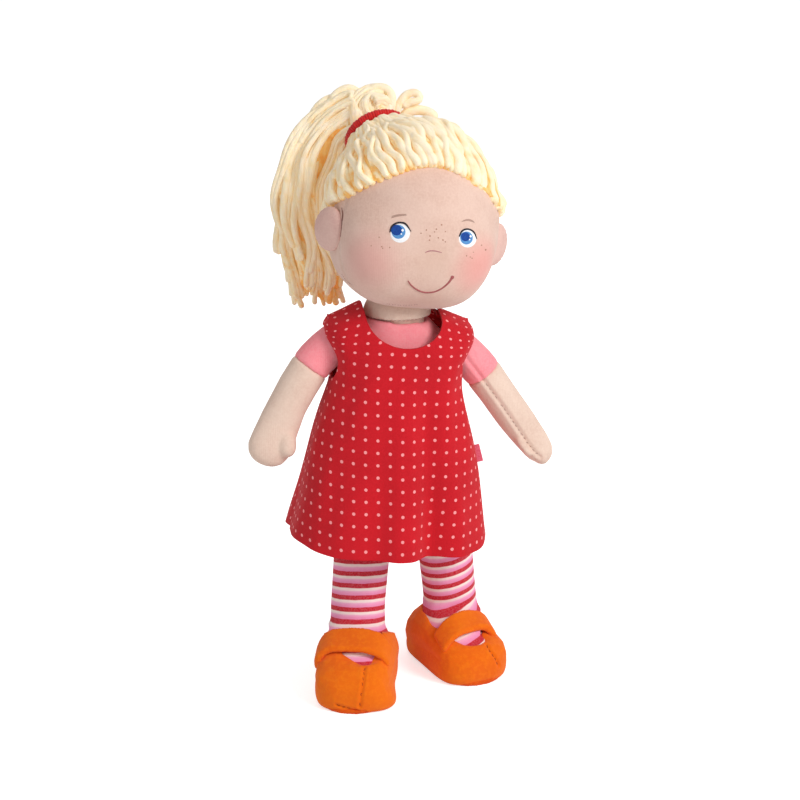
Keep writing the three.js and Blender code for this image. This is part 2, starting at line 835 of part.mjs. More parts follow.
function strapPoint(side, around, across, lift) {
  const angle = THREE.MathUtils.lerp(strapInnerEnd, strapFreeEnd, around);
  const lateralAngle = side > 0 ? angle : Math.PI - angle;
  const ending = THREE.MathUtils.smoothstep(around, strapRoundingShare, 1);
  const narrow = THREE.MathUtils.lerp(strapTipShare, 1, Math.sqrt(Math.max(0, 1 - ending ** 2)));
  const forward = strapSetForward + strapWidth * (across - 0.5) * narrow + strapSlant * (around - 0.5);
  const raise = THREE.MathUtils.smoothstep(around, 0, strapRaiseShare);
  const ease = THREE.MathUtils.lerp(seamGap, patchThickness + 2 * seamGap, raise);
  const { along, wide, high } = footSectionAt(forward, upperGrowth);
  const growth = upperGrowth + ease + lift;
  const point = footPoint(along, wide, high, lateralAngle, growth, upperFloor);
  point.y = -forward;
  return point;
}

function strapGrid(side, lift, from, to, aroundSteps, acrossSteps) {
  const rows = [];
  for (let j = 0; j <= acrossSteps; j += 1) {
    const row = [];
    for (let i = 0; i <= aroundSteps; i += 1) {
      const around = THREE.MathUtils.lerp(from, to, i / aroundSteps);
      row.push(strapPoint(side, around, j / acrossSteps, lift));
    }
    rows.push(side > 0 ? row.reverse() : row);
  }
  return rows;
}

function makeShoeStrap(name, side) {
  const grid = (lift) => strapGrid(side, lift, 0, 1, 18, 4);
  return named(name, placeFoot(sheet(grid(strapThickness), grid(0), false), side), shoeCloth());
}

function makeShoePatch(name, side) {
  const grid = (lift) => strapGrid(side, lift, ...patchSpanShares, 5, 2);
  const top = grid(-seamGap);
  const bottom = grid(-seamGap - patchThickness);
  return named(name, placeFoot(sheet(top, bottom, false), side), hookAndLoop());
}

// Dress: two panels lapped at the sides and over the shoulders

// Height from hem to strap, half width and half depth
const dressShares = [
  [0, 1, 1],
  [0.12, 0.95, 0.93],
  [0.28, 0.87, 0.83],
  [0.42, 0.79, 0.74],
  [0.56, 0.71, 0.67],
  [0.7, 0.64, 0.6],
  [0.8, 0.635, 0.56],
  [0.88, 0.655, 0.51],
  [0.94, 0.665, 0.44],
  [0.98, 0.655, 0.35],
  [1, 0.62, 0.2],
];
const dressPower = 2.6;
const dressSides = 36;
const dressLength = strapTopHeight - hemHeight;

const foldFadePower = 1.4;
const foldPhase = 0.6;
const foldSway = 0.8;
const flarePower = 1.3;
// Where the front strap climbs onto the back one, and where the strap's top begins
const lapRiseShares = [0.8, 0.94];
const topRiseShares = [0.85, 1];
const closureSetShare = 0.75;

function foldAt(angle, rise) {
  const wave = Math.cos(foldCount * angle + foldPhase + foldSway * Math.sin(2 * angle));
  return foldRelief * (1 - Math.max(0, rise)) ** foldFadePower * wave;
}

const dressCentreX = (rise) => bodyX + flareShift * (1 - Math.max(0, rise)) ** flarePower;

function dressSkin(offsetAt, below) {
  const under = [-below / dressLength, ...dressShares[0].slice(1)];
  const rows = below > 0 ? [under, ...dressShares] : dressShares;
  const rings = rows.map(([rise, wide, deep]) => {
    const offset = offsetAt(rise);
    const lift = offset * THREE.MathUtils.smoothstep(rise, ...topRiseShares);
    const height = hemHeight + rise * dressLength + lift;
    const centre = new THREE.Vector3(dressCentreX(rise), bodyY, height);
    const halfWidth = hemHalfWidth * wide + offset;
    const halfDepth = hemHalfDepth * deep + offset;
    const ring = outline(centre, xAxis, yAxis, halfWidth, halfDepth, dressPower, dressSides);
    return ring.map((point, i) => {
      const angle = (2 * Math.PI * i) / dressSides;
      return point.add(new THREE.Vector3(Math.cos(angle), Math.sin(angle), 0)
        .multiplyScalar(foldAt(angle, rise)));
    });
  });
  return solidOf(loft(rings));
}

// A wall-to-wall cutter: an outline of side view points, as long as the dress is wide
function sideCutter(points) {
  const shape = new THREE.Shape(points.map(([y, z]) => new THREE.Vector2(y, z)));
  const span = 4 * hemHalfWidth;
  const geometry = new THREE.ExtrudeGeometry(shape, { depth: span, bevelEnabled: false });
  geometry.applyMatrix4(new THREE.Matrix4().makeBasis(yAxis, zAxis, xAxis));
  geometry.translate(-span / 2, 0, 0);
  return solidOf(geometry);
}

function armholeCutter(side) {
  const geometry = new THREE.CylinderGeometry(armholeRadius, armholeRadius, 4 * hemHalfDepth, 40);
  geometry.translate(bodyX + side * armholeCentreX, bodyY, armholeCentreHeight);
  return solidOf(geometry);
}

function neckHoleCutter(depth, forward) {
  const geometry = new THREE.CylinderGeometry(1, 1, 2 * hemHalfDepth, 32);
  geometry.scale(neckHoleHalfWidth, 1, depth + neckHoleRise);
  geometry.translate(bodyX, bodyY + (forward ? -hemHalfDepth : hemHalfDepth), strapTopHeight + neckHoleRise);
  return solidOf(geometry);
}

const frontOffset = (rise) => {
  const sideLift = clothThickness + seamGap;
  const strapLift = sideLift + closureThickness + seamGap;
  return THREE.MathUtils.lerp(sideLift, strapLift, THREE.MathUtils.smoothstep(rise, ...lapRiseShares));
};

function makeDressPanel(name, isFront) {
  const base = isFront ? frontOffset : () => 0;
  const way = isFront ? -1 : 1;
  const outer = dressSkin((rise) => base(rise) + clothThickness, 0);
  const inner = dressSkin((rise) => base(rise), cutOverrun);
  const far = bodyY + way * 2 * hemHalfDepth;
  const keep = sideCutter([
    [bodyY - way * sideLap, hemHeight - 2 * cutOverrun],
    [bodyY - way * sideLap, armholeCentreHeight],
    [bodyY - way * strapLap, armholeCentreHeight],
    [bodyY - way * strapLap, strapTopHeight + 2 * cutOverrun],
    [far, strapTopHeight + 2 * cutOverrun],
    [far, hemHeight - 2 * cutOverrun],
  ]);
  let solid = outer.subtract(inner).intersect(keep)
    .subtract(neckHoleCutter(isFront ? frontNeckDepth : backNeckDepth, isFront))
    .subtract(neckHoleCutter(backNeckDepth, !isFront));
  for (const side of [-1, 1]) {
    solid = solid.subtract(armholeCutter(side));
  }
  solid = solidOf(slump(geometryOf(solid)));
  for (const side of [-1, 1]) {
    solid = solid.subtract(ball(shoulderPivot(side), armRadius + jointGap));
    solid = solid.subtract(sleeveSkin(side, jointGap));
  }
  const largest = solid.decompose().sort((a, b) => b.volume() - a.volume())[0];
  return named(name, geometryOf(largest), dressCloth());
}

// The hook-and-loop patch that holds the two straps together over a shoulder
function makeClosure(name, side) {
  const lift = (rise) => (clothThickness + seamGap) * THREE.MathUtils.smoothstep(rise, ...lapRiseShares);
  const outer = dressSkin((rise) => lift(rise) + closureThickness, 0);
  const inner = dressSkin(lift, cutOverrun);
  const block = new THREE.BoxGeometry(closureWidth, 2 * strapLap - clothThickness, 2 * cutOverrun);
  const across = side * (neckHoleHalfWidth + closureWidth * closureSetShare);
  block.translate(bodyX + across, bodyY, strapTopHeight);
  const solid = outer.subtract(inner).intersect(solidOf(block));
  return named(name, slump(geometryOf(solid)), hookAndLoop());
}

function makeTag() {
  const middle = tagTop - tagHeight / 2;
  const rise = (middle - hemHeight) / dressLength;
  const row = dressShares.findIndex(([height]) => height >= rise);
  const [low, high] = [dressShares[row - 1], dressShares[row]];
  const half = hemHalfWidth * THREE.MathUtils.mapLinear(rise, low[0], high[0], low[1], high[1]);
  const surface = half + frontOffset(rise) + clothThickness + foldAt(0, rise);
  const edge = dressCentreX(rise) + surface + seamGap;
  const geometry = new THREE.BoxGeometry(tagWidth, tagThickness, tagHeight);
  geometry.rotateY(-Math.atan2((low[1] - high[1]) * hemHalfWidth, (high[0] - low[0]) * dressLength));
  geometry.translate(edge + tagWidth / 2, bodyY, middle);
  return named('dress_tag', slump(geometryOf(solidOf(geometry))), hookAndLoop());
}

const doll = new THREE.Group();
headGroup.add(
  makeHead(),
  makeEar('ear_left', 1),
  makeEar('ear_right', -1),
  makeHairCap(),
  makeHairTie(),
  makePonytail(),
);
doll.add(makeTorso(), makeNeck(), headGroup);
for (const [word, side] of [['left', 1], ['right', -1]]) {
  doll.add(
    makeSleeve(`sleeve_${word}`, side),
    makeHand(`hand_${word}`, side),
    makeLeg(`leg_${word}`, side),
    makeShoeUpper(`shoe_upper_${word}`, side),
    makeShoeSole(`shoe_sole_${word}`, side),
    makeShoeStrap(`shoe_strap_${word}`, side),
    makeShoePatch(`shoe_patch_${word}`, side),
    makeClosure(`dress_closure_${word}`, side),
  );
}
doll.add(makeDressPanel('dress_front', true), makeDressPanel('dress_back', false), makeTag());

// Stand the doll over the origin
doll.updateMatrixWorld(true);
const bounds = new THREE.Box3().setFromObject(doll, true);
const middle = bounds.getCenter(new THREE.Vector3());
doll.position.set(-middle.x, -middle.y, -bounds.min.z);

export default doll;
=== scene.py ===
import math
from contextlib import contextmanager

import bpy
import bmesh
import numpy as np
from mathutils import Matrix, Vector


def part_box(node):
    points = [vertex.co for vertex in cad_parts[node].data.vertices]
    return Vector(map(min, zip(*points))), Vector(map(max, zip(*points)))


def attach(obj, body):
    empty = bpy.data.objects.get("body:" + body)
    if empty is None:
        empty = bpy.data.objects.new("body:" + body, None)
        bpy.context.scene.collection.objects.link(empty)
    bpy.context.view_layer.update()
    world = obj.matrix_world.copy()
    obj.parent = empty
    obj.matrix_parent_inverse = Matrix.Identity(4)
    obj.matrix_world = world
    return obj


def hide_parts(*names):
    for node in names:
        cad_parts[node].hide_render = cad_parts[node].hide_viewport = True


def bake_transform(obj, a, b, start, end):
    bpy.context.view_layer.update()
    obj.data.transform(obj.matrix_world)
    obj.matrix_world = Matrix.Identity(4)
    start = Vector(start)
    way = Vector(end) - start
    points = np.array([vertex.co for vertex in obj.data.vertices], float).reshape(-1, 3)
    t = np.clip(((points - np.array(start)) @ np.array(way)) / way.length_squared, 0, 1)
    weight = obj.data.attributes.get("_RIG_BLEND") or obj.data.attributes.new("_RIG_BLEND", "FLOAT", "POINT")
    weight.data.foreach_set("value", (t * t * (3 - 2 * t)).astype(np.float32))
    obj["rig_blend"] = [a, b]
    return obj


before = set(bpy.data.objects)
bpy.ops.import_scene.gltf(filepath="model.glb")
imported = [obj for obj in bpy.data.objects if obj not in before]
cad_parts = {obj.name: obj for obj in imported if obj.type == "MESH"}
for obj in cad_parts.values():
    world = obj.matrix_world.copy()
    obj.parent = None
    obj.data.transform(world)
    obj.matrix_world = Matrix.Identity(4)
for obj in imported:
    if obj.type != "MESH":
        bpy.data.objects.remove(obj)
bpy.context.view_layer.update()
rng = np.random.default_rng(11)

# Lengths below are in millimetres, in the doll's own frame, unless a name says otherwise
MM = 0.001
BODY_X, BODY_Y = -2.5, 5.0
PELVIS_X = 2.0
HIP, HEM, STRAP_TOP, SHOULDER, NECK = 95.0, 74.0, 187.0, 172.0, 188.0
NECK_SUNK = 6.0
neck_low, neck_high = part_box("neck")
SHIFT = np.array([
    (neck_low[0] + neck_high[0]) / 2 / MM - BODY_X,
    (neck_low[1] + neck_high[1]) / 2 / MM - BODY_Y,
    neck_low[2] / MM - (NECK - NECK_SUNK),
])


# Small maths

def unit(v):
    v = np.asarray(v, float)
    return v / np.maximum(np.linalg.norm(v, axis=-1, keepdims=True), 1e-9)


def smooth(x, low, high):
    t = np.clip((np.asarray(x, float) - low) / (high - low), 0, 1)
    return t * t * (3 - 2 * t)


def lerp(a, b, t):
    return a + (b - a) * t


def signed_power(v, p):
    return np.sign(v) * np.abs(v) ** p


def spline(rows, count):
    p = np.asarray(rows, float)
    ext = np.vstack([2 * p[0] - p[1], p, 2 * p[-1] - p[-2]])
    t = np.linspace(0, len(p) - 1, count)
    i = np.minimum(t.astype(int), len(p) - 2)
    f = (t - i)[:, None]
    a, b, c, d = ext[i], ext[i + 1], ext[i + 2], ext[i + 3]
    return 0.5 * (2 * b + (c - a) * f + (2 * a - 5 * b + 4 * c - d) * f ** 2
                  + (3 * b - a - 3 * c + d) * f ** 3)


def along(line):
    return np.concatenate([[0], np.cumsum(np.linalg.norm(np.diff(line, axis=0), axis=1))])


def sampled(rows, at, places):
    """Rows of values known at some places, read at others."""
    return np.column_stack([np.interp(places, at, column) for column in rows.T])


def resample(line, places):
    return sampled(line, along(line), places)


def circle(count):
    """Angles all round, in equal steps."""
    return np.linspace(0, 2 * math.pi, count, endpoint=False)


def place_object(name, data):
    obj = bpy.data.objects.new(name, data)
    bpy.context.collection.objects.link(obj)
    return obj


# Camera

AZIMUTH, ELEVATION = math.radians(-12), math.radians(16)
DISTANCE, FOCAL_PX, IMAGE_PX, SENSOR_MM = 1038.0, 2050.0, 800, 36
TARGET = np.array([1.61, -2.49, 144.3])
look = np.array([
    -math.sin(AZIMUTH) * math.cos(ELEVATION),
    math.cos(AZIMUTH) * math.cos(ELEVATION),
    -math.sin(ELEVATION),
])
right = np.array([math.cos(AZIMUTH), math.sin(AZIMUTH), 0.0])
up = np.cross(right, look)
eye = TARGET - look * DISTANCE


def project(world):
    d = np.asarray(world, float) - eye
    depth = d @ look
    return np.stack([IMAGE_PX / 2 + FOCAL_PX * (d @ right) / depth,
                     IMAGE_PX / 2 - FOCAL_PX * (d @ up) / depth], axis=-1)


def rays(pixels):
    p = np.asarray(pixels, float)
    return unit(look * FOCAL_PX + (p[..., :1] - IMAGE_PX / 2) * right
                - (p[..., 1:2] - IMAGE_PX / 2) * up)


def at_depth(pixels, nearby, back=0.0):
    """World points on the pixels' rays, as deep as a point and a little further back."""
    way = rays(pixels)
    depth = (np.asarray(nearby) - eye) @ look + back
    return eye + way * (depth / (way @ look))[..., None]


camera_data = bpy.data.cameras.new("camera")
camera_data.sensor_width = SENSOR_MM
camera_data.lens = FOCAL_PX * SENSOR_MM / IMAGE_PX
camera_data.clip_start = 0.05
camera = place_object("camera", camera_data)
turn = Matrix((right, up, -look)).transposed().to_4x4()
camera.matrix_world = Matrix.Translation(Vector(eye * MM)) @ turn
bpy.context.scene.camera = camera


# Materials

def rgb(r, g, b):
    def line(c):
        c /= 255
        return c / 12.92 if c <= 0.04045 else ((c + 0.055) / 1.055) ** 2.4
    return (line(r), line(g), line(b), 1.0)


# A wave texture of scale 1 repeats every 0.314 m
WAVE_REPEAT = 0.314


class Nodes:
    """A node tree, with short calls to add to it."""

    def __init__(self, tree):
        self.tree = tree
        tree.nodes.clear()

    def add(self, kind, values=None, **props):
        node = self.tree.nodes.new(kind)
        for key, value in props.items():
            setattr(node, key, value)
        self.put(node, values or {})
        return node

    def put(self, node, values):
        for key, value in values.items():
            node.inputs[key].default_value = value

    def link(self, a, b):
        self.tree.links.new(a, b)

    def feed(self, node, index, value):
        if hasattr(value, "is_output"):
            self.link(value, node.inputs[index])
        elif value is not None:
            node.inputs[index].default_value = value

    def math(self, operation, a, b=None, clamp=False):
        node = self.add("ShaderNodeMath", operation=operation, use_clamp=clamp)
        self.feed(node, 0, a)
        self.feed(node, 1, b)
        return node.outputs[0]

    def plus(self, a, b):
        return self.math("ADD", a, b)

    def minus(self, a, b, clamp=False):
        return self.math("SUBTRACT", a, b, clamp)

    def times(self, a, b):
        return self.math("MULTIPLY", a, b)

    def weighed(self, *pairs):
        """The sum of values, each times its weight."""
        total = None
        for value, weight in pairs:
            part = value if weight == 1 else self.times(value, weight)
            total = part if total is None else self.plus(total, part)
        return total

    def measure(self, operation, vector, other):
        """The distance or dot product of a vector and a fixed one."""
        node = self.add("ShaderNodeVectorMath", {1: other}, operation=operation)
        self.link(vector, node.inputs[0])
        return node.outputs["Value"]

    def looked_at(self):
        """One for light that reaches the camera straight, by a reflection or through a piece."""
        path = self.add("ShaderNodeLightPath").outputs
        either = self.math("MAXIMUM", path["Is Camera Ray"], path["Is Glossy Ray"])
        return self.math("MAXIMUM", either, path["Is Transmission Ray"])

    def pick(self, share, a, b):
        node = self.add("ShaderNodeMixShader")
        for k, source in enumerate((share, a, b)):
            self.link(source, node.inputs[k])
        return node.outputs[0]


class Paint(Nodes):
    """A material's nodes round one shader."""

    def __init__(self, name, roughness=0.9, sheen=0.3):
        self.material = bpy.data.materials.new(name)
        self.material.use_nodes = True
        super().__init__(self.material.node_tree)
        self.out = self.add("ShaderNodeOutputMaterial")
        self.shader = self.add("ShaderNodeBsdfPrincipled", {
            "Roughness": roughness, "Specular IOR Level": 0.25,
            "Sheen Weight": sheen, "Sheen Roughness": 0.55})
        self.link(self.shader.outputs[0], self.out.inputs[0])
        coords = self.add("ShaderNodeTexCoord").outputs
        self.place, self.uv = coords["Object"], coords["UV"]

    def uv_parts(self):
        parts = self.add("ShaderNodeSeparateXYZ")
        self.link(self.uv, parts.inputs[0])
        return parts.outputs[:2]

    def noise(self, scale, detail=3.0, roughness=0.55):
        node = self.add("ShaderNodeTexNoise", {"Scale": scale, "Detail": detail, "Roughness": roughness})
        self.link(self.place, node.inputs["Vector"])
        return node.outputs["Fac"]

    def wave(self, repeat_m, direction="X", distortion=0.0, vector=None):
        """Bands that repeat at a distance."""
        node = self.add("ShaderNodeTexWave", {
            "Scale": WAVE_REPEAT / repeat_m, "Distortion": distortion, "Detail Scale": 1.5},
            wave_type="BANDS", bands_direction=direction)
        self.link(vector or self.place, node.inputs["Vector"])
        return node.outputs["Fac"]

    def ramp(self, value, low, high):
        node = self.add("ShaderNodeMapRange", {"From Min": low, "From Max": high},
                        interpolation_type="SMOOTHSTEP")
        self.link(value, node.inputs["Value"])
        return node.outputs[0]

    def mix(self, share, a, b):
        node = self.add("ShaderNodeMix", data_type="RGBA")
        for index, value in ((0, share), (6, a), (7, b)):
            self.feed(node, index, value)
        return node.outputs[2]

    def colour(self, value):
        self.feed(self.shader, "Base Color", value)

    def bump(self, height, strength=0.4, depth_mm=0.25):
        node = self.add("ShaderNodeBump", {"Strength": strength, "Distance": depth_mm * MM})
        self.link(height, node.inputs["Height"])
        self.link(node.outputs[0], self.shader.inputs["Normal"])

    def knit(self, wale_mm=0.9):
        """Height of a fine knit: columns of loops, a cross rib and loose fibres."""
        columns = self.wave(wale_mm * MM, "X", 1.2)
        courses = self.wave(wale_mm * MM / 1.15, "Z", 1.6)
        return self.weighed((columns, 0.45), (courses, 0.35), (self.noise(2600, 2.0), 0.6))

    def mottled(self, base, deep, light):
        """The base colour, a little uneven in large patches and in fine grain."""
        patches = self.ramp(self.noise(55.0), 0.35, 0.7)
        grains = self.ramp(self.noise(900.0, 4.0), 0.3, 0.72)
        return self.mix(self.times(grains, 0.45), self.mix(patches, base, deep), light)


def knit_material(name, base, deep, light, sheen=0.25, wale_mm=0.9):
    paint = Paint(name, 0.92, sheen)
    paint.colour(paint.mottled(base, deep, light))
    paint.bump(paint.knit(wale_mm), 0.35, 0.22)
    return paint.material


SKIN, SKIN_DEEP, SKIN_LIGHT = rgb(226, 192, 176), rgb(217, 179, 162), rgb(236, 206, 191)
skin = knit_material("skin_cloth", rgb(232, 204, 186), rgb(224, 192, 174), rgb(240, 216, 200), 0.15)
ear_cloth = knit_material("ear_cloth", rgb(226, 186, 174), rgb(216, 170, 160), rgb(236, 200, 188), 0.15)
shirt = knit_material("shirt_jersey", rgb(255, 150, 158), rgb(250, 136, 146), rgb(255, 172, 178), 0.12)
thread = knit_material("thread", rgb(176, 132, 120), rgb(150, 105, 96), rgb(196, 150, 138), 0.1, 0.3)
shoe_thread = knit_material("shoe_thread", rgb(170, 62, 10), rgb(140, 45, 8), rgb(190, 80, 20), 0.1, 0.3)
tag_ribbon = knit_material("tag_ribbon", rgb(232, 96, 120), rgb(214, 78, 104), rgb(244, 140, 156), 0.2, 0.35)
hook_tape = knit_material("hook_tape", rgb(246, 190, 196), rgb(238, 168, 176), rgb(252, 214, 216), 0.3, 0.5)


def head_material(blush_and_shade):
    paint = Paint("face_cloth", 0.92, 0.25)
    base = paint.mottled(SKIN, SKIN_DEEP, SKIN_LIGHT)
    # Printed blush on the cheeks, and painted shade on the lower face
    for point, reach, strength, tint in blush_and_shade:
        away = paint.measure("DISTANCE", paint.place, tuple(np.asarray(point) * MM))
        share = paint.times(paint.ramp(away, reach * MM, 0.12 * reach * MM), strength)
        base = paint.mix(share, base, tint)
    paint.colour(base)
    paint.bump(paint.knit(0.8), 0.35, 0.2)
    return paint.material


def flat_print(name, colour, other):
    """Print on the face cloth: the weave shows through a little."""
    paint = Paint(name, 0.75, 0.1)
    grains = paint.ramp(paint.noise(1400), 0.35, 0.75)
    paint.colour(paint.mix(paint.times(grains, 0.6), colour, other))
    paint.bump(paint.knit(0.8), 0.2, 0.12)
    return paint.material


def yarn_material(name, light, base, deep, twist_mm=7.0):
    """Soft single-ply yarn: slanting fibres, painted shade as deeper colour in the hollows of the ply, each
    strand its own tone.
    """
    paint = Paint(name, 0.95, 0.1)
    round_it, along_it = paint.uv_parts()
    slant = paint.weighed((round_it, 2.0), (along_it, 1 / twist_mm))

    def ridges(number):
        wave = paint.math("SINE", paint.times(slant, 2 * math.pi * number))
        return paint.plus(paint.times(wave, 0.5), 0.5)

    ply, fibre = ridges(1), ridges(5)
    tone_and_shade = paint.add("ShaderNodeAttribute", attribute_name="tone_and_shade").outputs["Fac"]
    fuzz = paint.noise(700, 4.0)
    patch = paint.ramp(paint.noise(210), 0.3, 0.7)
    # Painted shade: a higher tone and the ply's hollows take the deeper colour
    share = paint.weighed((tone_and_shade, 0.95), (patch, 0.55), (ply, -0.22), (fuzz, 0.2))
    share = paint.minus(share, 0.36, clamp=True)
    body = paint.mix(share, light, base)
    paint.colour(paint.mix(paint.ramp(share, 0.45, 1.0), body, deep))
    paint.bump(paint.weighed((ply, 0.5), (fibre, 0.25), (fuzz, 1.1), (paint.noise(1900), 0.8)), 0.6, 0.5)
    # The fibres pass a little warm light on through the subsurface; the warm emission is painted light, a
    # faint glow in the yarn's shade
    paint.put(paint.shader, {
        "Subsurface Weight": 0.12, "Subsurface Radius": (1.0, 0.6, 0.3), "Subsurface Scale": 0.002,
        "Emission Color": rgb(255, 206, 130), "Emission Strength": 0.085})
    return paint.material


yarn = yarn_material("yarn", rgb(255, 241, 214), rgb(255, 224, 166), rgb(254, 192, 106))
# A deeper copy of the yarn: painted shade for the hollows under and inside the hair
yarn_gap_shade = yarn_material("yarn_gap_shade", rgb(255, 216, 144), rgb(254, 200, 116), rgb(248, 178, 88))


def elastic_material():
    paint = Paint("elastic_red", 0.7, 0.2)
    ribs = paint.wave(1.1, "Y", 0.6, paint.uv)
    cords = paint.wave(0.16, "X", 0.2, paint.uv)
    fuzz = paint.noise(1500)
    # The ribs' hollows take the darker red, painted shade; the fuzz varies it a little
    share = paint.weighed((ribs, 0.55), (fuzz, 0.25))
    paint.colour(paint.mix(share, rgb(178, 12, 14), rgb(236, 34, 30)))
    paint.bump(paint.weighed((ribs, 1), (cords, 0.5), (fuzz, 0.4)), 0.6, 0.5)
    return paint.material


elastic = elastic_material()


def striped_material(name, origin, axis, repeat):
    """Ringed stocking jersey: red, cream and pink rings square to the leg."""
    paint = Paint(name, 0.9, 0.06)
    along_leg = paint.measure("DOT_PRODUCT", paint.place, tuple(axis))
    down = paint.minus(along_leg, float(np.dot(origin, axis)) * MM)
    down = paint.plus(down, paint.times(paint.minus(paint.noise(160, 2.0), 0.5), 0.0006))
    share = paint.math("FRACT", paint.math("DIVIDE", down, repeat * MM))
    ramp = paint.add("ShaderNodeValToRGB")
    stops = [
        (0.0, rgb(204, 16, 42)), (0.335, rgb(198, 14, 40)), (0.365, rgb(244, 196, 196)),
        (0.40, rgb(255, 238, 228)), (0.56, rgb(255, 226, 226)), (0.63, rgb(250, 182, 212)),
        (0.80, rgb(246, 152, 196)), (0.955, rgb(240, 140, 184)), (0.985, rgb(210, 30, 62)),
    ]
    while len(ramp.color_ramp.elements) < len(stops):
        ramp.color_ramp.elements.new(0.5)
    for element, (place_share, tint) in zip(ramp.color_ramp.elements, stops):
        element.position = place_share
        element.color = tint
    paint.link(share, ramp.inputs[0])
    grains = paint.ramp(paint.noise(1300), 0.3, 0.75)
    worn = paint.mix(paint.times(grains, 0.1), ramp.outputs[0], rgb(255, 226, 226))
    soil = paint.times(paint.ramp(paint.noise(70), 0.45, 0.75), 0.05)
    paint.colour(paint.mix(soil, worn, rgb(178, 120, 160)))
    paint.bump(paint.knit(0.8), 0.4, 0.25)
    return paint.material


def fleece_material(name, base, deep, light):
    paint = Paint(name, 0.95, 0.08)
    clumps = paint.noise(420, 4.0, 0.65)
    large = paint.ramp(paint.noise(38, 2.0), 0.35, 0.7)
    body = paint.mix(paint.times(large, 0.6), base, deep)
    paint.colour(paint.mix(paint.times(paint.ramp(clumps, 0.4, 0.75), 0.55), body, light))
    paint.bump(paint.weighed((clumps, 1), (paint.noise(2200), 0.35)), 0.45, 0.5)
    return paint.material


fleece = fleece_material("shoe_fleece", rgb(242, 112, 2), rgb(232, 94, 2), rgb(250, 130, 10))
# The sole's darker orange is painted shade on the slipper's low sides
sole_fleece_shaded = fleece_material("sole_fleece_shaded", rgb(226, 86, 4), rgb(205, 68, 4), rgb(240, 106, 10))

DOT_PITCH, DOT_RADIUS = 6.15, 0.82
DOT_SHIFT = (0.44, 0.31)


def dress_material():
    """Red printed cotton: small pale dots on a square grid, plain weave and fine creases."""
    paint = Paint("dress_cotton", 0.9, 0.06)
    cells = []
    for part, shift in zip(paint.uv_parts(), DOT_SHIFT):
        cell = paint.plus(paint.math("DIVIDE", part, DOT_PITCH), 100.5 + shift)
        cell = paint.minus(paint.math("FRACT", cell), 0.5)
        cells.append(paint.math("POWER", paint.math("ABSOLUTE", cell), 2.0))
    away = paint.math("SQRT", paint.plus(*cells))
    away = paint.plus(away, paint.times(paint.minus(paint.noise(900, 2.0), 0.5), 0.03))
    reach = DOT_RADIUS / DOT_PITCH
    dots = paint.ramp(away, reach * 1.12, reach * 0.84)
    grains = paint.ramp(paint.noise(1200), 0.3, 0.75)
    large = paint.ramp(paint.noise(30, 2.0), 0.35, 0.7)
    red = paint.mix(paint.times(large, 0.5), rgb(204, 18, 32), rgb(180, 12, 26))
    red = paint.mix(paint.times(grains, 0.3), red, rgb(220, 32, 46))
    paint.colour(paint.mix(dots, red, rgb(250, 158, 160)))
    weave = paint.times(*(paint.wave(0.42, way, 0.3, paint.uv) for way in "XY"))
    creases = paint.noise(85, 4.0, 0.6)
    paint.bump(paint.weighed((weave, 0.3), (creases, 1.6)), 0.35, 0.6)
    return paint.material


dress_cotton = dress_material()
dress_edge = knit_material("dress_edge", rgb(186, 16, 28), rgb(160, 12, 24), rgb(206, 30, 42), 0.1, 0.4)


# Meshes

def round_shaded(mesh):
    mesh.polygons.foreach_set("use_smooth", np.ones(len(mesh.polygons), bool))
    mesh.update()


@contextmanager
def editing(mesh):
    """A mesh opened for edits, and written back after them."""
    work = bmesh.new()
    work.from_mesh(mesh)
    yield work
    work.to_mesh(mesh)
    work.free()


def face_outward(mesh):
    with editing(mesh) as work:
        bmesh.ops.recalc_face_normals(work, faces=work.faces)


def build(name, points, faces, material, uvs=None, tone_and_shade=None):
    """An object from points in world millimetres."""
    mesh = bpy.data.meshes.new(name)
    mesh.from_pydata((np.asarray(points) * MM).tolist(), [], np.asarray(faces).tolist())
    if uvs is not None:
        layer = mesh.uv_layers.new(name="UVMap")
        layer.data.foreach_set("uv", np.asarray(uvs, np.float32).ravel())
    if tone_and_shade is not None:
        # The tone attribute holds a random tone for each piece together with its painted shade
        layer = mesh.attributes.new("tone_and_shade", "FLOAT", "POINT")
        layer.data.foreach_set("value", np.asarray(tone_and_shade, np.float32))
    mesh.materials.append(material)
    round_shaded(mesh)
    return place_object(name, mesh)


def finish_piece(obj, body, nodes=()):
    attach(obj, body)
    if nodes:
        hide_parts(*nodes)
    return obj


def grid_faces(rows, columns, wrap=False):
    j, i = np.meshgrid(np.arange(rows - 1), np.arange(columns if wrap else columns - 1), indexing="ij")
    a = j * columns + i
    b = j * columns + (i + 1) % columns
    return np.stack([a, b, b + columns, a + columns], axis=-1).reshape(-1, 4)


def ring_uv(rows, columns, places):
    """A UV for each face corner of rings that close on themselves."""
    j, i = np.meshgrid(np.arange(rows), np.arange(columns), indexing="ij")
    u = np.stack([i, i + 1, i + 1, i], -1) / columns
    v = np.stack([places[j], places[j], places[j + 1], places[j + 1]], -1)
    return np.stack([u, v], -1).reshape(-1, 2)


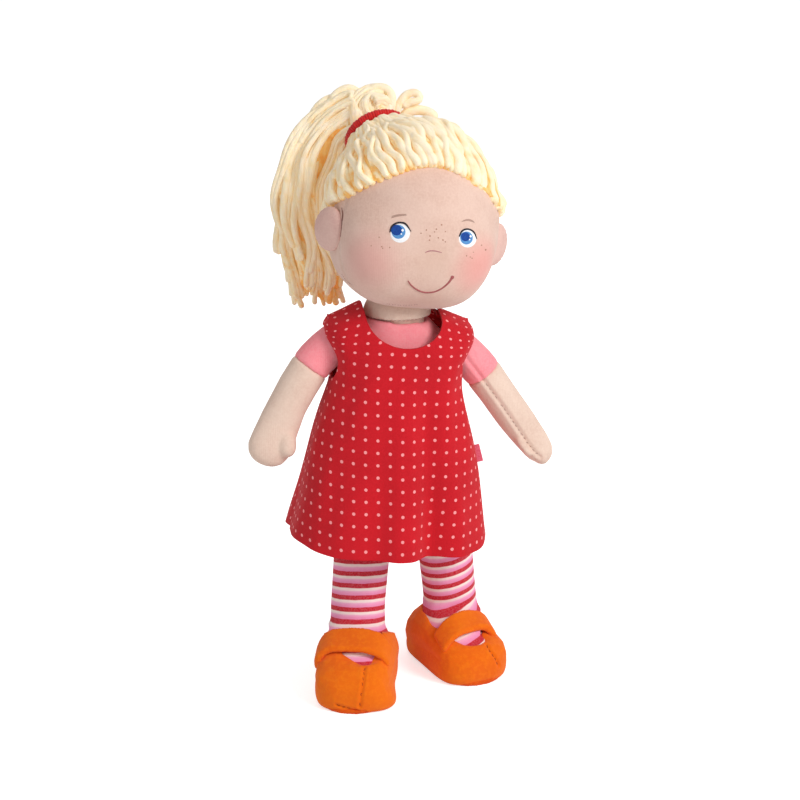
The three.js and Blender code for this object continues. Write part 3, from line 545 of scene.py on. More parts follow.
def tube(line, radius, sides=8, wide=1.0):
    """Rings of points along a line with rounded ends, their faces, and a UV for each face corner."""
    length = along(line)[-1]
    cap = min(float(np.mean(radius)), length * 0.3)
    steps = max(4, int(length / 1.4))
    ends = np.array([0, 0.12, 0.4, 0.75]) * cap
    places = np.concatenate([ends, np.linspace(cap, length - cap, steps), length - ends[::-1]])
    s = along(line)
    path = resample(line, places)
    size = np.interp(places, s, radius) if np.ndim(radius) else np.full(len(places), float(radius))
    near = np.minimum(places, length - places)
    size = size * np.sqrt(np.clip(1 - (1 - np.clip(near / cap, 0, 1)) ** 2, 0.01, 1))
    tangent = unit(np.gradient(path, axis=0))
    side = np.zeros_like(path)
    side[0] = unit(np.cross(tangent[0], [0.3, 0.2, 1.0]))
    for k in range(1, len(path)):
        side[k] = unit(side[k - 1] - tangent[k] * np.dot(side[k - 1], tangent[k]))
    other = np.cross(tangent, side)
    angle = circle(sides)[None, :]
    points = (path[:, None, :]
              + side[:, None, :] * (size[:, None] * wide * np.cos(angle))[..., None]
              + other[:, None, :] * (size[:, None] / wide * np.sin(angle))[..., None])
    return points.reshape(-1, 3), grid_faces(len(path), sides, True), ring_uv(len(path) - 1, sides, places)


def joined(parts):
    """Points and faces of several parts as one."""
    starts = np.cumsum([0] + [len(part[0]) for part in parts[:-1]])
    return np.vstack([part[0] for part in parts]), np.vstack([part[1] + k for part, k in zip(parts, starts)])


def bundle(name, lines, radii, material, tones_and_shade=None, sides=8, wide=None, shade=None):
    """One object of many tubes; shade adds painted shade to the tone by place."""
    parts, tone_and_shade = [], []
    for k, line in enumerate(lines):
        part = tube(np.asarray(line), radii[k], sides, wide[k] if wide is not None else 1.0)
        parts.append(part)
        level = np.full(len(part[0]), 0.5 if tones_and_shade is None else tones_and_shade[k])
        tone_and_shade.append(level + (0 if shade is None else shade(part[0])))
    points, faces = joined(parts)
    return build(name, points, faces, material, np.vstack([part[2] for part in parts]), np.concatenate(tone_and_shade))


def values_of(items, name, width=3):
    """A property of every item of a mesh, in rows."""
    values = np.empty(len(items) * width)
    items.foreach_get(name, values)
    return values.reshape(-1, width)


def points_of(obj):
    return values_of(obj.data.vertices, "co") / MM


def normals_of(obj):
    return values_of(obj.data.vertices, "normal")


def set_points(obj, points):
    obj.data.vertices.foreach_set("co", (points * MM).ravel())
    obj.data.update()


def baked(obj):
    """Applies an object's modifiers."""
    bpy.context.view_layer.update()
    graph = bpy.context.evaluated_depsgraph_get()
    mesh = bpy.data.meshes.new_from_object(obj.evaluated_get(graph))
    obj.modifiers.clear()
    obj.data = mesh
    return obj


def soft_copy(name, node, material, voxel, rounds, grow=0.0, added=None):
    """A rounded, even copy of a node's form, as stuffing gives it, with another form melted in."""
    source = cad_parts[node]
    mesh = source.data.copy()
    mesh.transform(source.matrix_world)
    if added is not None:
        with editing(mesh) as work:
            corners = [work.verts.new(p) for p in added[0] * MM]
            for face in added[1]:
                work.faces.new([corners[k] for k in face])
    obj = place_object(name, mesh)
    remesh = obj.modifiers.new("remesh", "REMESH")
    remesh.mode = "VOXEL"
    remesh.voxel_size = voxel * MM
    relax = obj.modifiers.new("relax", "SMOOTH")
    relax.factor = 0.5
    relax.iterations = rounds
    swell = obj.modifiers.new("swell", "DISPLACE")
    swell.strength = grow * MM
    swell.mid_level = 0.0
    baked(obj)
    obj.data.materials.clear()
    obj.data.materials.append(material)
    round_shaded(obj.data)
    return obj


def cast(obj, pixels):
    """Where the pixels' rays meet a piece, with its normals there."""
    bpy.context.view_layer.update()
    hits, normals = [], []
    for way in rays(pixels):
        hit, place, normal, _ = obj.ray_cast(Vector(eye * MM), Vector(way))
        if hit:
            hits.append(np.array(place) / MM)
            normals.append(np.array(normal))
    return np.array(hits), np.array(normals)


def hug(obj, line, lift=0.0):
    """A line laid on a piece's surface."""
    bpy.context.view_layer.update()
    laid, normals = [], []
    for p in line:
        _, place, normal, _ = obj.closest_point_on_mesh(Vector(p * MM))
        laid.append(np.array(place) / MM + lift * np.array(normal))
        normals.append(np.array(normal))
    return np.array(laid), unit(np.array(normals))


def nudge(obj, change):
    """Shapes a piece by moves in pixels to the right and down, and in millimetres nearer."""
    points = points_of(obj)
    pixels = project(points)
    step = change(pixels[:, 0], pixels[:, 1], points)
    scale = ((points - eye) @ look) / FOCAL_PX
    across, down, nearer = (np.broadcast_to(part, len(points))[:, None] for part in step)
    set_points(obj, points + (across * right - down * up) * scale[:, None] - nearer * look)


def away_from(points, line):
    fine = resample(line, np.arange(0, along(line)[-1], 0.5))
    best = np.full(len(points), 1e9)
    for start in range(0, len(points), 4000):
        part = points[start:start + 4000]
        d = np.linalg.norm(part[:, None, :] - fine[None, :, :], axis=2)
        best[start:start + 4000] = d.min(axis=1)
    return best


def groove(obj, line, width, depth):
    """Presses a seam into a piece along a line, with the cloth a little full beside it."""
    points = points_of(obj)
    d = away_from(points, line)
    press = depth * np.exp(-(d / width) ** 2) - 0.25 * depth * np.exp(-((d - 2.2 * width) / width) ** 2)
    set_points(obj, points - normals_of(obj) * press[:, None])


def stitches(name, obj, line, material, length=1.7, gap=1.1, radius=0.16, skip=None):
    """Short thread stitches on a piece, along a line."""
    total = along(line)[-1]
    lines = []
    for start in np.arange(0.3, total - length, length + gap):
        if skip is not None and rng.random() < skip:
            continue
        spot = resample(line, start + np.linspace(0, length, 5))
        laid, normal = hug(obj, spot)
        rise = np.array([-0.12, 0.1, 0.14, 0.1, -0.12])
        lines.append(laid + normal * rise[:, None])
    return bundle(name, lines, [radius] * len(lines), material, sides=6)


# Head

TILT = math.radians(7)
HEAD_HALF = np.array([41.0, 38.0, 44.0])
JAW_POWER, CROWN_POWER = 3.0, 1.95
HEAD_CENTRE = np.array([2.4, -3.0, 52.0])
NECK_PIVOT = np.array([BODY_X, BODY_Y, NECK])
tilt_matrix = np.array([
    [math.cos(TILT), 0, math.sin(TILT)],
    [0, 1, 0],
    [-math.sin(TILT), 0, math.cos(TILT)],
])


def from_head(local):
    return np.asarray(local) @ tilt_matrix.T + NECK_PIVOT + SHIFT


def to_head(world):
    return (np.asarray(world) - NECK_PIVOT - SHIFT) @ tilt_matrix


def head_reach(direction):
    """A full, squarish jaw under a rounder crown."""
    power = lerp(JAW_POWER, CROWN_POWER, smooth(direction[..., 2], -0.45, 0.25))
    return np.sum(np.abs(direction / HEAD_HALF) ** power[..., None], axis=-1) ** (-1 / power)


def on_head(direction, offset):
    direction = unit(direction)
    return from_head(HEAD_CENTRE + direction * (head_reach(direction) + offset)[..., None])


def face_direction(pixels):
    """Directions from the head's centre at which pixels' rays meet the face."""
    way = rays(pixels) @ tilt_matrix
    start = to_head(eye) - HEAD_CENTRE
    near = -np.sum(way * start, axis=-1)
    low, high = near - 70, near
    for _ in range(40):
        middle = (low + high) / 2
        point = start + way * middle[..., None]
        inside = np.linalg.norm(point, axis=-1) < head_reach(unit(point))
        high = np.where(inside, middle, high)
        low = np.where(inside, low, middle)
    return unit(start + way * high[..., None])


SEAM_ANGLE = math.radians(71)


def ahead(polar, around):
    """Directions at an angle from straight ahead, and round it."""
    return np.stack([
        np.sin(polar) * np.cos(around),
        -np.cos(polar) * np.ones_like(around),
        np.sin(polar) * np.sin(around),
    ], axis=-1)


# The first two spots are the printed blush on the cheeks; the last two darken the lower face in the middle as
# painted shade
BLUSH_AND_SHADE = [
    ((368, 262), 22.0, 0.62, rgb(224, 160, 152)),
    ((481, 268), 21.0, 0.66, rgb(236, 152, 146)),
    ((432, 262), 15.0, 0.35, rgb(214, 176, 156)),
    ((421, 304), 22.0, 0.5, rgb(212, 168, 152)),
]


def make_head():
    rows, columns = 110, 132
    polar = np.linspace(0.002, math.pi - 0.002, rows)[:, None]
    around = circle(columns)[None, :]
    direction = ahead(polar, around)
    off = (polar - SEAM_ANGLE) * 40
    ripple = 0.12 * np.sin(around * 60) * np.exp(-(off / 2.2) ** 2)
    press = -0.85 * np.exp(-(off / 0.75) ** 2) + 0.22 * np.exp(-((np.abs(off) - 2.2) / 1.5) ** 2) + ripple
    soft = 0.18 * np.sin(3 * around + 5 * polar) + 0.14 * np.sin(7 * around - 4 * polar + 1)
    slant = np.arccos(np.clip(unit(direction) @ unit(np.array([0.8, -0.1, -0.6])), -1, 1))
    soft = soft * np.sin(polar) ** 2 - 2.6 * np.exp(-(slant / 0.42) ** 2)
    points = on_head(direction, press + soft)
    blush_and_shade = [(on_head(face_direction([pixel]), 0)[0], *rest) for pixel, *rest in BLUSH_AND_SHADE]
    faces = grid_faces(rows, columns, True)
    return build("head_stuffed", points.reshape(-1, 3), faces, head_material(blush_and_shade))


head = make_head()
finish_piece(head, "head", ["head"])


def seam_line(low_deg, high_deg):
    """Along the bottom of the seam's groove."""
    return on_head(ahead(SEAM_ANGLE, np.radians(np.linspace(low_deg, high_deg, 120))), -0.75)


for word, span, skip in [("jaw", (196, 232), 0.25), ("chin", (234, 300), 0.15),
                         ("jaw_left", (302, 344), 0.3)]:
    piece = stitches(f"head_stitches_{word}", head, seam_line(*span), thread, 1.3, 1.2, 0.15, skip)
    finish_piece(piece, "head")
for word, pixels in [("jaw_front", [(341.7, 273.5), (344, 277.5), (347, 281), (351, 284.5), (355, 287.5)]),
                     ("chin_front", [(386, 303.6), (394, 304.6), (403, 305.2), (412, 305), (421, 304)])]:
    laid, _ = cast(head, pixels)
    piece = stitches(f"head_stitches_{word}", head, laid, thread, 1.7, 1.0, 0.17)
    finish_piece(piece, "head")


# Face, drawn on the head by pixels of the photograph

def face_disc(centre, radii, lift, rows=7, columns=40):
    share = np.linspace(0.02, 1, rows)[:, None]
    angle = circle(columns)[None, :]
    pixels = np.stack([centre[0] + share * radii[0] * np.cos(angle),
                       centre[1] + share * radii[1] * np.sin(angle)], axis=-1)
    height = lift * np.ones_like(angle) * np.where(share > 0.995, -0.4, 1.0)
    return on_head(face_direction(pixels), height).reshape(-1, 3), grid_faces(rows, columns, True)


def face_stroke(points, widths, lift, count=48):
    line = spline(np.column_stack([points, widths]), count)
    tangent = unit(np.gradient(line[:, :2], axis=0))
    normal = np.stack([-tangent[:, 1], tangent[:, 0]], axis=-1)
    across = np.array([-1, -0.85, -0.4, 0, 0.4, 0.85, 1])
    height = lift * np.array([-0.6, 0.8, 1, 1.05, 1, 0.8, -0.6])
    pixels = line[:, None, :2] + normal[:, None, :] * (line[:, 2:3] / 2 * across[None, :])[..., None]
    lifts = np.broadcast_to(height[None, :], pixels.shape[:2])
    return on_head(face_direction(pixels), lifts).reshape(-1, 3), grid_faces(count, 7)


def face_piece(name, parts, material):
    return finish_piece(build(name, *joined(parts), material), "head")


white_print = flat_print("eye_white", rgb(248, 248, 250), rgb(232, 234, 240))
iris_print = flat_print("eye_iris", rgb(92, 152, 208), rgb(60, 118, 186))
pupil_print = flat_print("eye_pupil", rgb(10, 60, 140), rgb(26, 84, 166))
lash_print = flat_print("eye_lash", rgb(24, 22, 30), rgb(46, 42, 52))
brow_print = flat_print("brow_print", rgb(176, 142, 128), rgb(196, 164, 150))
mouth_print = flat_print("mouth_print", rgb(160, 84, 84), rgb(184, 110, 108))
nose_print = flat_print("nose_print", rgb(178, 120, 124), rgb(200, 150, 148))
freckle_print = flat_print("freckle_print", rgb(176, 126, 106), rgb(196, 150, 130))

EYE_DISCS = {
    "eye_whites": (white_print, 0.14, [((400.2, 233.2), (10.1, 9.9)), ((467.6, 238.8), (9.2, 9.4))]),
    "eye_irises": (iris_print, 0.22, [((398.6, 231.8), (7.9, 7.9)), ((466.3, 237.9), (7.2, 7.4))]),
    "eye_pupils": (pupil_print, 0.29, [((396.8, 230.2), (6.4, 5.9)), ((465.2, 236.6), (5.2, 5.2))]),
}
for name, (material, lift, discs) in EYE_DISCS.items():
    face_piece(name, [face_disc(centre, radii, lift) for centre, radii in discs], material)
GLINTS = [((402.6, 230.2), 1.7, 20), ((401.4, 233.9), 1.0, 16),
          ((470.2, 236.2), 1.5, 20), ((469.2, 239.4), 0.9, 16)]
face_piece("eye_glints", [
    face_disc(spot, (size, size), 0.36, rows=4, columns=count) for spot, size, count in GLINTS
], white_print)
face_piece("eye_lashes", [
    face_stroke([(390.0, 232.2), (391.8, 226.6), (396.0, 223.3),
                 (401.0, 222.6), (406.0, 224.3), (411.2, 231.4)],
                [1.0, 1.9, 1.9, 1.9, 1.8, 0.5], 0.36),
    face_stroke([(459.0, 236.6), (461.6, 231.4), (465.6, 229.2),
                 (470.0, 229.6), (474.0, 232.6), (476.6, 238.9)],
                [0.9, 1.7, 1.7, 1.7, 1.6, 0.5], 0.36),
], lash_print)
BROWS = [
    [(391.4, 217.9), (396.5, 216.2), (402.0, 215.3), (406.9, 215.0)],
    [(391.8, 216.3), (397.0, 215.0), (402.0, 214.5), (406.0, 214.4)],
    [(461.4, 221.6), (466.0, 220.4), (470.0, 220.7), (474.4, 222.3)],
    [(463.4, 220.4), (467.0, 219.6), (470.5, 220.0), (473.6, 221.3)],
]
face_piece("brows", [face_stroke(points, [0.7, 1.25, 1.2, 0.6], 0.2) for points in BROWS], brow_print)
face_piece("nose_line", [
    face_stroke([(425.0, 252.6), (428.4, 251.2), (432.6, 250.7), (437.4, 251.4), (441.6, 252.6)],
                [0.6, 1.0, 1.1, 1.0, 0.6], 0.2),
], nose_print)
face_piece("mouth_line", [
    face_stroke([(408.0, 280.6), (410.6, 284.6), (415.4, 288.8), (421.6, 291.8), (428.0, 292.6),
                 (435.4, 291.4), (442.6, 287.8), (448.6, 282.6), (452.2, 277.4)],
                [0.8, 1.2, 1.3, 1.35, 1.4, 1.4, 1.5, 1.9, 2.4], 0.22),
    face_disc((452.4, 277.4), (1.9, 1.9), 0.24, rows=4, columns=20),
], mouth_print)

FRECKLES = [
    (441.6, 224.8), (436.4, 229.2), (426.4, 230.0), (445.4, 231.6), (421.0, 233.2), (430.0, 236.0),
    (438.3, 237.8), (443.0, 240.0), (445.4, 241.8), (434.6, 231.9), (429.4, 240.2), (379.2, 237.2),
    (371.2, 245.8), (381.8, 246.6), (382.8, 248.2), (389.8, 247.4), (473.4, 252.2), (466.6, 255.8),
    (472.0, 258.2), (481.6, 245.2), (485.7, 249.8), (470.2, 257.0),
]
face_piece("freckles", [
    face_disc(spot, (0.75 + 0.3 * rng.random(),) * 2, 0.12, rows=3, columns=12) for spot in FRECKLES
], freckle_print)


# Ears: small flat pillows sewn into the side seams

def make_ear(name, side):
    sweep = math.radians(44 if side > 0 else 57)
    outward = np.array([side * math.cos(sweep), math.sin(sweep), 0])
    across = np.array([-outward[1], outward[0], 0]) * side
    if side > 0:
        centre = HEAD_CENTRE + np.array([HEAD_HALF[0] - 0.65, 1.5, -12.5]) + outward * 4.5
    else:
        seam_point, _ = cast(head, [(340.0, 229.0)])
        centre = to_head(seam_point[0]) + outward * 8.4 + np.array([1.0, -0.9, -1.9])
    rows, columns = 33, 48
    share = np.linspace(0, 1, rows)[:, None]
    angle = circle(columns)[None, :]
    polar = share * math.pi
    rim = np.sin(polar)
    out = 9.2 * rim * np.cos(angle) * (1 + 0.1 * np.cos(angle))
    rise = 10.4 * rim * np.sin(angle) * (1 + 0.05 * np.sin(angle))
    fat = 3.0 * signed_power(np.cos(polar), 0.75) * np.ones_like(angle)
    pucker = 0.18 * np.sin(angle * 22) * rim ** 6
    seam = 1.0 + 0.045 * rim ** 18
    local = (centre + (out * seam)[..., None] * outward + (rise * seam)[..., None] * np.array([0, 0, 1])
             + (fat + pucker)[..., None] * across)
    return build(name, from_head(local).reshape(-1, 3), grid_faces(rows, columns, True), ear_cloth)


for word, side in (("left", 1), ("right", -1)):
    ear = make_ear(f"ear_{word}_stuffed", side)
    finish_piece(ear, "head", [f"ear_{word}"])


# A dark tube along the ear's front edge is a painted shadow in the gap between the ear and the head
ear_shadow_pixels = [(341.8, 207.5), (342.6, 214), (342.3, 222), (341.4, 230), (340.4, 237)]
seen, _ = cast(head, spline(ear_shadow_pixels, 40))
laid, _ = hug(head, seen, 0.1)
ear_gap_shadow = knit_material("ear_gap_shadow", rgb(150, 104, 94), rgb(130, 88, 80), rgb(170, 124, 112), 0.05, 0.4)
finish_piece(bundle("ear_right_shadow_line", [laid], [0.34], ear_gap_shadow), "head")


# Hair: a sewn cap of strands drawn up into an elastic, and the ponytail that falls from it

TIE_DIRECTION = unit([-0.36, 0.62, 0.7])
LEAN = unit([-0.22, 0.8, 0.56])
TIE_RADIUS, BAND = 14.6, 4.4
# How far inside the tie the hair gathers
GATHER_DEPTH = 2.6
TIE = HEAD_CENTRE + TIE_DIRECTION * (head_reach(TIE_DIRECTION) + 8)
TIE_SIDE = unit(np.cross(LEAN, [0, 0, 1]))
TIE_UP = unit(np.cross(TIE_SIDE, LEAN))


def hairline(angle):
    aside = np.arccos(np.cos(angle))
    over_ear = np.exp(-((aside - math.radians(98)) / math.radians(21)) ** 2)
    lift = np.radians(0.75 + 40.5 * np.cos(angle) + 4.75 * np.cos(2 * angle) + 9 * over_ear)
    return np.stack([np.sin(angle) * np.cos(lift), -np.cos(angle) * np.cos(lift), np.sin(lift)], axis=-1)


def way_to_tie(angle, inside, t, sweep=0.0):
    """Directions from the hairline to the tie, the angle between the ends, and the last one's reach."""
    first = hairline(np.array(angle))
    flat = unit(first - LEAN * np.dot(first, LEAN))
    flat = unit(flat * math.cos(sweep) + np.cross(LEAN, flat) * math.sin(sweep))
    end = TIE + flat * inside - LEAN * GATHER_DEPTH - HEAD_CENTRE
    reach_end = np.linalg.norm(end)
    last = end / reach_end
    whole = math.acos(np.clip(np.dot(first, last), -1, 1))
    path = unit(first * np.sin((1 - t) * whole)[:, None] + last * np.sin(t * whole)[:, None])
    return path, whole, reach_end


def fullness(t):
    """The hair rises from the hairline and settles toward the tie."""
    return np.sin(math.pi * np.minimum(1, 0.12 + 1.25 * t)) ** 0.5


def strand_line(angle, start=0.0, sweep=0.0, height=1.0, wobble=1.0, radius=1.9, count=34):
    """From the hairline over the head to the gather under the elastic, in head coordinates."""
    t = np.linspace(start, 1, count)
    path, whole, reach_end = way_to_tie(angle, 12.6 - radius * 0.5, t, sweep)
    aside = unit(np.cross(path, np.gradient(path, axis=0)))
    phase = rng.random(4) * 2 * math.pi
    arc = t * whole * HEAD_HALF[2]
    sway = (np.sin(arc / 2.9 + phase[0]) * 0.5 + np.sin(arc / 5.1 + phase[1]) * 0.8) * wobble
    sway *= smooth(t, start, start + 0.1) * (1 - 0.5 * smooth(t, 0.75, 1))
    bounce = 0.45 * np.sin(arc / 3.7 + phase[2]) * wobble * (1 - smooth(t, 0.8, 1))
    thick = lerp(2.2, 4.4, fullness(t)) * height * (1 - 0.28 * smooth(path[:, 0], 0.3, 0.9)) + bounce
    if start == 0.0:
        thick = thick - 2.6 * (1 - smooth(t, 0.0, 0.045))
    else:
        thick = thick - 1.5 * (1 - smooth(t, start, start + 0.06))
    reach = head_reach(path) + thick - radius * 0.4
    reach = lerp(reach, reach_end, smooth(t, 0.6, 1)) + 1.5 * height * np.exp(-((t - 0.9) / 0.055) ** 2)
    return HEAD_CENTRE + path * reach[:, None] + aside * sway[:, None]


# The underlayer takes the deep yarn colour and a deep tone: painted shade seen in the gaps between the
# strands
def make_hair_under():
    rows, columns = 26, 150
    t = np.linspace(0.012, 1, rows)
    shells = []
    for depth in (1.0, 0.0):
        shell = []
        for k, angle in enumerate(circle(columns)):
            path, _, reach_end = way_to_tie(angle, 11.6, t)
            ridge = 0.35 * math.sin(k * 2 * math.pi / 3)
            reach = head_reach(path) + depth * (lerp(0.9, 2.2, fullness(t)) + ridge) + 0.15
            reach = lerp(reach, reach_end - 2 * (1 - depth), smooth(t, 0.6, 1))
            shell.append(HEAD_CENTRE + path * reach[:, None])
        shells.append(np.array(shell).transpose(1, 0, 2))
    outer, inner = shells
    half = rows * columns
    faces = grid_faces(rows, columns, True)
    i = np.arange(columns)
    j = (i + 1) % columns
    last = (rows - 1) * columns
    rim = np.stack([i, half + i, half + j, j], -1)
    top = np.stack([last + i, last + j, half + last + j, half + last + i], -1)
    faces = np.vstack([faces, faces[:, ::-1] + half, rim, top])
    points = from_head(np.concatenate([outer.reshape(-1, 3), inner.reshape(-1, 3)]))
    u = (faces % columns) / 3.0
    v = (faces % half) // columns * 3.0
    return build("hair_underlayer", points, faces, yarn_gap_shade, np.stack([u, v], -1).reshape(-1, 2),
                 np.full(len(points), 0.8))


def flatter_side(x, y, points):
    """Draws the cap in a little over the far side of the head."""
    return -5.5 * smooth(x, 436, 478) * (1 - smooth(y, 188, 204)), 0, 0


under = make_hair_under()
nudge(under, lambda x, y, points: (0.45 * flatter_side(x, y, points)[0], 0, 0))
finish_piece(under, "head", ["hair_cap"])


def yarn_piece(name, strands, sides, shade=None):
    """One object of strands, each a line in head coordinates with its radii, tone with painted shade, and
    width.
    """
    lines, radii, tones_and_shade, widths = zip(*strands)
    return bundle(name, [from_head(line) for line in lines], radii, yarn, tones_and_shade, sides, widths, shade)


def cap_shade(points):
    """Painted shade: deeper colour low in the hair between the strands, and behind the ears towards the back.
    """
    local = to_head(points) - HEAD_CENTRE
    thick = np.linalg.norm(local, axis=1) - head_reach(unit(local))
    near_tie = smooth(np.linalg.norm(points - from_head(TIE), axis=1), 34, 20)
    return 0.45 * (1 - smooth(thick, 1.8, 4.6)) * (1 - near_tie) + 0.25 * smooth(local[:, 1], 5, 30)


# Low strands fill the gaps with deeper amber, painted shade between the strands; the thick pale ones over
# them end at the hairline or inside the cap
LOW_STRANDS, TOP_STRANDS = 72, 62
hair = []
for k in range(LOW_STRANDS):
    angle = 2 * math.pi * (k + 0.4 * (rng.random() - 0.5)) / LOW_STRANDS
    size = 1.9 + 0.3 * rng.random()
    line = strand_line(angle, 0.0, 0.3 * (rng.random() - 0.5), 0.5 + 0.14 * rng.random(), 0.8, size)
    t = np.linspace(0, 1, len(line))
    radius = size * (1 - 0.35 * smooth(t, 0.55, 1)) * (1 + 0.1 * np.sin(t * 20 + k))
    hair.append((line, radius, 0.25 + 0.3 * rng.random(), 1.0 + 0.15 * rng.random()))
for k in range(TOP_STRANDS):
    angle = 2 * math.pi * (k + 0.8 * (rng.random() - 0.5)) / TOP_STRANDS
    start = 0.0 if rng.random() < 0.86 else 0.08 + 0.22 * rng.random()
    size = 1.75 + 0.55 * rng.random()
    line = strand_line(angle, start, 0.4 * (rng.random() - 0.5), 0.98 + 0.24 * rng.random(), 1.5, size)
    t = np.linspace(0, 1, len(line))
    phase = 2 * math.pi * rng.random()
    radius = size * (1 - 0.36 * smooth(t, 0.55, 0.95)) * (1 + 0.14 * np.sin(t * 11 + phase))
    hair.append((line, radius, 0.3 * rng.random(), 1.0 + 0.3 * rng.random()))
strands = yarn_piece("hair_strands", hair, 8, cap_shade)
nudge(strands, flatter_side)
finish_piece(strands, "head", ())


def make_tie():
    around = circle(220)
    small = circle(14)
    ring = np.cos(around)[:, None] * TIE_SIDE + np.sin(around)[:, None] * TIE_UP
    ridge = 1 + 0.07 * np.sin(around * 55) + 0.03 * np.sin(around * 23 + 1)
    thick = BAND / 2 * ridge[:, None]
    out = TIE_RADIUS + thick * np.cos(small)[None, :]
    rise = thick * np.sin(small)[None, :]
    local = TIE + ring[:, None, :] * out[..., None] + LEAN * rise[..., None]
    rows, columns = len(around), len(small)
    local = np.concatenate([local, local[:1]])
    uv = ring_uv(rows, columns, np.arange(rows + 1) * (2 * math.pi * TIE_RADIUS / rows))
    faces = grid_faces(rows + 1, columns, True)
    return build("hair_elastic", from_head(local).reshape(-1, 3), faces, elastic, uv)


finish_piece(make_tie(), "head", ["hair_tie"])

TAIL_ROOT_RADIUS = TIE_RADIUS - BAND / 2 - 0.5
TAIL_LENGTH = 190
TAIL_REACH = np.array([-46.8, 52.0, 40.6])
TAIL_ROWS = [
    (0.42, 0.82, 1.0, 0.82, 0.84), (0.78, 0.96, 0.66, 0.93, 0.98), (0.91, 1, 0.05, 1, 1),
    (0.87, 0.92, -0.6, 0.9, 0.92), (0.78, 0.82, -1.15, 0.78, 0.7), (0.7, 0.76, -1.6, 0.66, 0.55),
]
stations = []
for out, wide in [(-0.16, 0.98), (0.15, 1), (0.58, 0.78), (0.95, 1.12)]:
    half = TAIL_ROOT_RADIUS * wide
    stations.append([*(TIE + LEAN * TIE_RADIUS * out), half, half])
for out, back, rise, wide, deep in TAIL_ROWS:
    at = HEAD_CENTRE + TAIL_REACH * np.array([out, back, rise])
    stations.append([*at, 20 * wide, 13.5 * deep])
tail = spline(stations, 160)
tail_tangent = unit(np.gradient(tail[:, :3], axis=0))
AWAY = np.array([-0.35, 0.94, 0.0])
tail_deep = unit(AWAY - tail_tangent * (tail_tangent @ AWAY)[:, None])
tail_wide = np.cross(tail_deep, tail_tangent)


def tail_at(t):
    """The ponytail's middle with its half widths, and its two cross directions, at shares of its length."""
    return [sampled(rows, np.arange(len(tail)), t * (len(tail) - 1)) for rows in (tail, tail_wide, tail_deep)]


def tail_line(share, angle, end, radius, wobble, phase, count=70):
    """A strand of the ponytail at a place in its section, in head coordinates."""
    t = np.linspace(0.0, end, count)
    centre, wide, deep = tail_at(t)
    drift = smooth(t, 0.3, 0.7)
    turned = angle + 0.25 * np.sin(t * 6 + phase[0]) * drift
    spread = share * (1 + 0.08 * np.sin(t * 9 + phase[1]) * drift)
    half_w = np.maximum(centre[:, 3] - radius, 0.5)
    half_d = np.maximum(centre[:, 4] - radius, 0.5)
    arc = t * TAIL_LENGTH
    sway = (0.6 * np.sin(arc / 4.2 + phase[2]) + 1.2 * np.sin(arc / 9 + phase[3])) * drift * wobble
    bob = (0.5 * np.sin(arc / 5.3 + phase[4]) + 0.8 * np.sin(arc / 11 + phase[5])) * drift * wobble
    return (centre[:, :3]
            + wide * (half_w * spread * np.cos(turned) + sway)[:, None]
            + deep * (half_d * spread * np.sin(turned) + bob)[:, None])


# The core inside the ponytail takes the deep yarn colour: painted shade between its locks
def make_tail_core():
    rows, columns = 60, 48
    at, wide, deep = tail_at(np.linspace(0, 0.78, rows))
    angle = circle(columns)
    ends = np.clip(np.minimum(np.arange(rows), rows - 1 - np.arange(rows)) / 4.0, 0.05, 1) ** 0.5
    flute = 1 + 0.07 * np.cos(angle * 12)
    size = 0.7 * ends[:, None] * flute[None, :]
    local = (at[:, None, :3] + wide[:, None, :] * (at[:, 3:4] * size * np.cos(angle))[..., None]
             + deep[:, None, :] * (at[:, 4:5] * size * np.sin(angle))[..., None])
    faces = grid_faces(rows, columns, True)
    u = (faces % columns) / 4.0
    v = (faces // columns) * 3.0
    return build("ponytail_core", from_head(local).reshape(-1, 3), faces, yarn_gap_shade,
                 np.stack([u, v], -1).reshape(-1, 2), np.full(rows * columns, 0.9))


finish_piece(make_tail_core(), "ponytail", ())

# Locks of a few strands that wave together; the ones towards the neck hang lowest
LOCKS, GOLDEN_TURN = 46, 2.39996
# Inner layers of locks take deeper tones, painted shade inside the ponytail; each lock adds a random tone
LAYER_SHARES, LAYER_SHADES = [0.98, 0.78, 0.48], [0.0, 0.4, 0.7]
bunch = []
for k in range(LOCKS):
    layer = k % 3
    lock_share = LAYER_SHARES[layer] + 0.05 * (rng.random() - 0.5)
    lock_angle = k * GOLDEN_TURN + 0.2 * rng.random()
    aside = lock_share * math.cos(lock_angle)
    lock_end = 0.925 - 0.015 * aside - 0.06 * float(smooth(aside, 0.75, 0.95)) + 0.085 * (rng.random() - 0.5)
    lock_phase = rng.random(6) * 2 * math.pi
    for _ in range(4):
        share = lock_share + 0.16 * (rng.random() - 0.5)
        angle = lock_angle + 0.4 * (rng.random() - 0.5)
        size = 1.2 + 0.5 * rng.random()
        end = min(1.0, lock_end - 0.05 * rng.random())
        phase = lock_phase + 1.3 * rng.random(6)
        line = tail_line(share, angle, end, size, 1.4 + 0.6 * rng.random(), phase)
        t = np.linspace(0, 1, len(line))
        radius = size * (0.75 + 0.25 * smooth(t, 0.05, 0.4)) * (1 + 0.14 * np.sin(t * 19 + phase[0]))
        bunch.append((line, radius, LAYER_SHADES[layer] + 0.35 * rng.random(), 1.0 + 0.3 * rng.random()))
finish_piece(yarn_piece("ponytail_strands", bunch, 7), "ponytail", ["ponytail"])

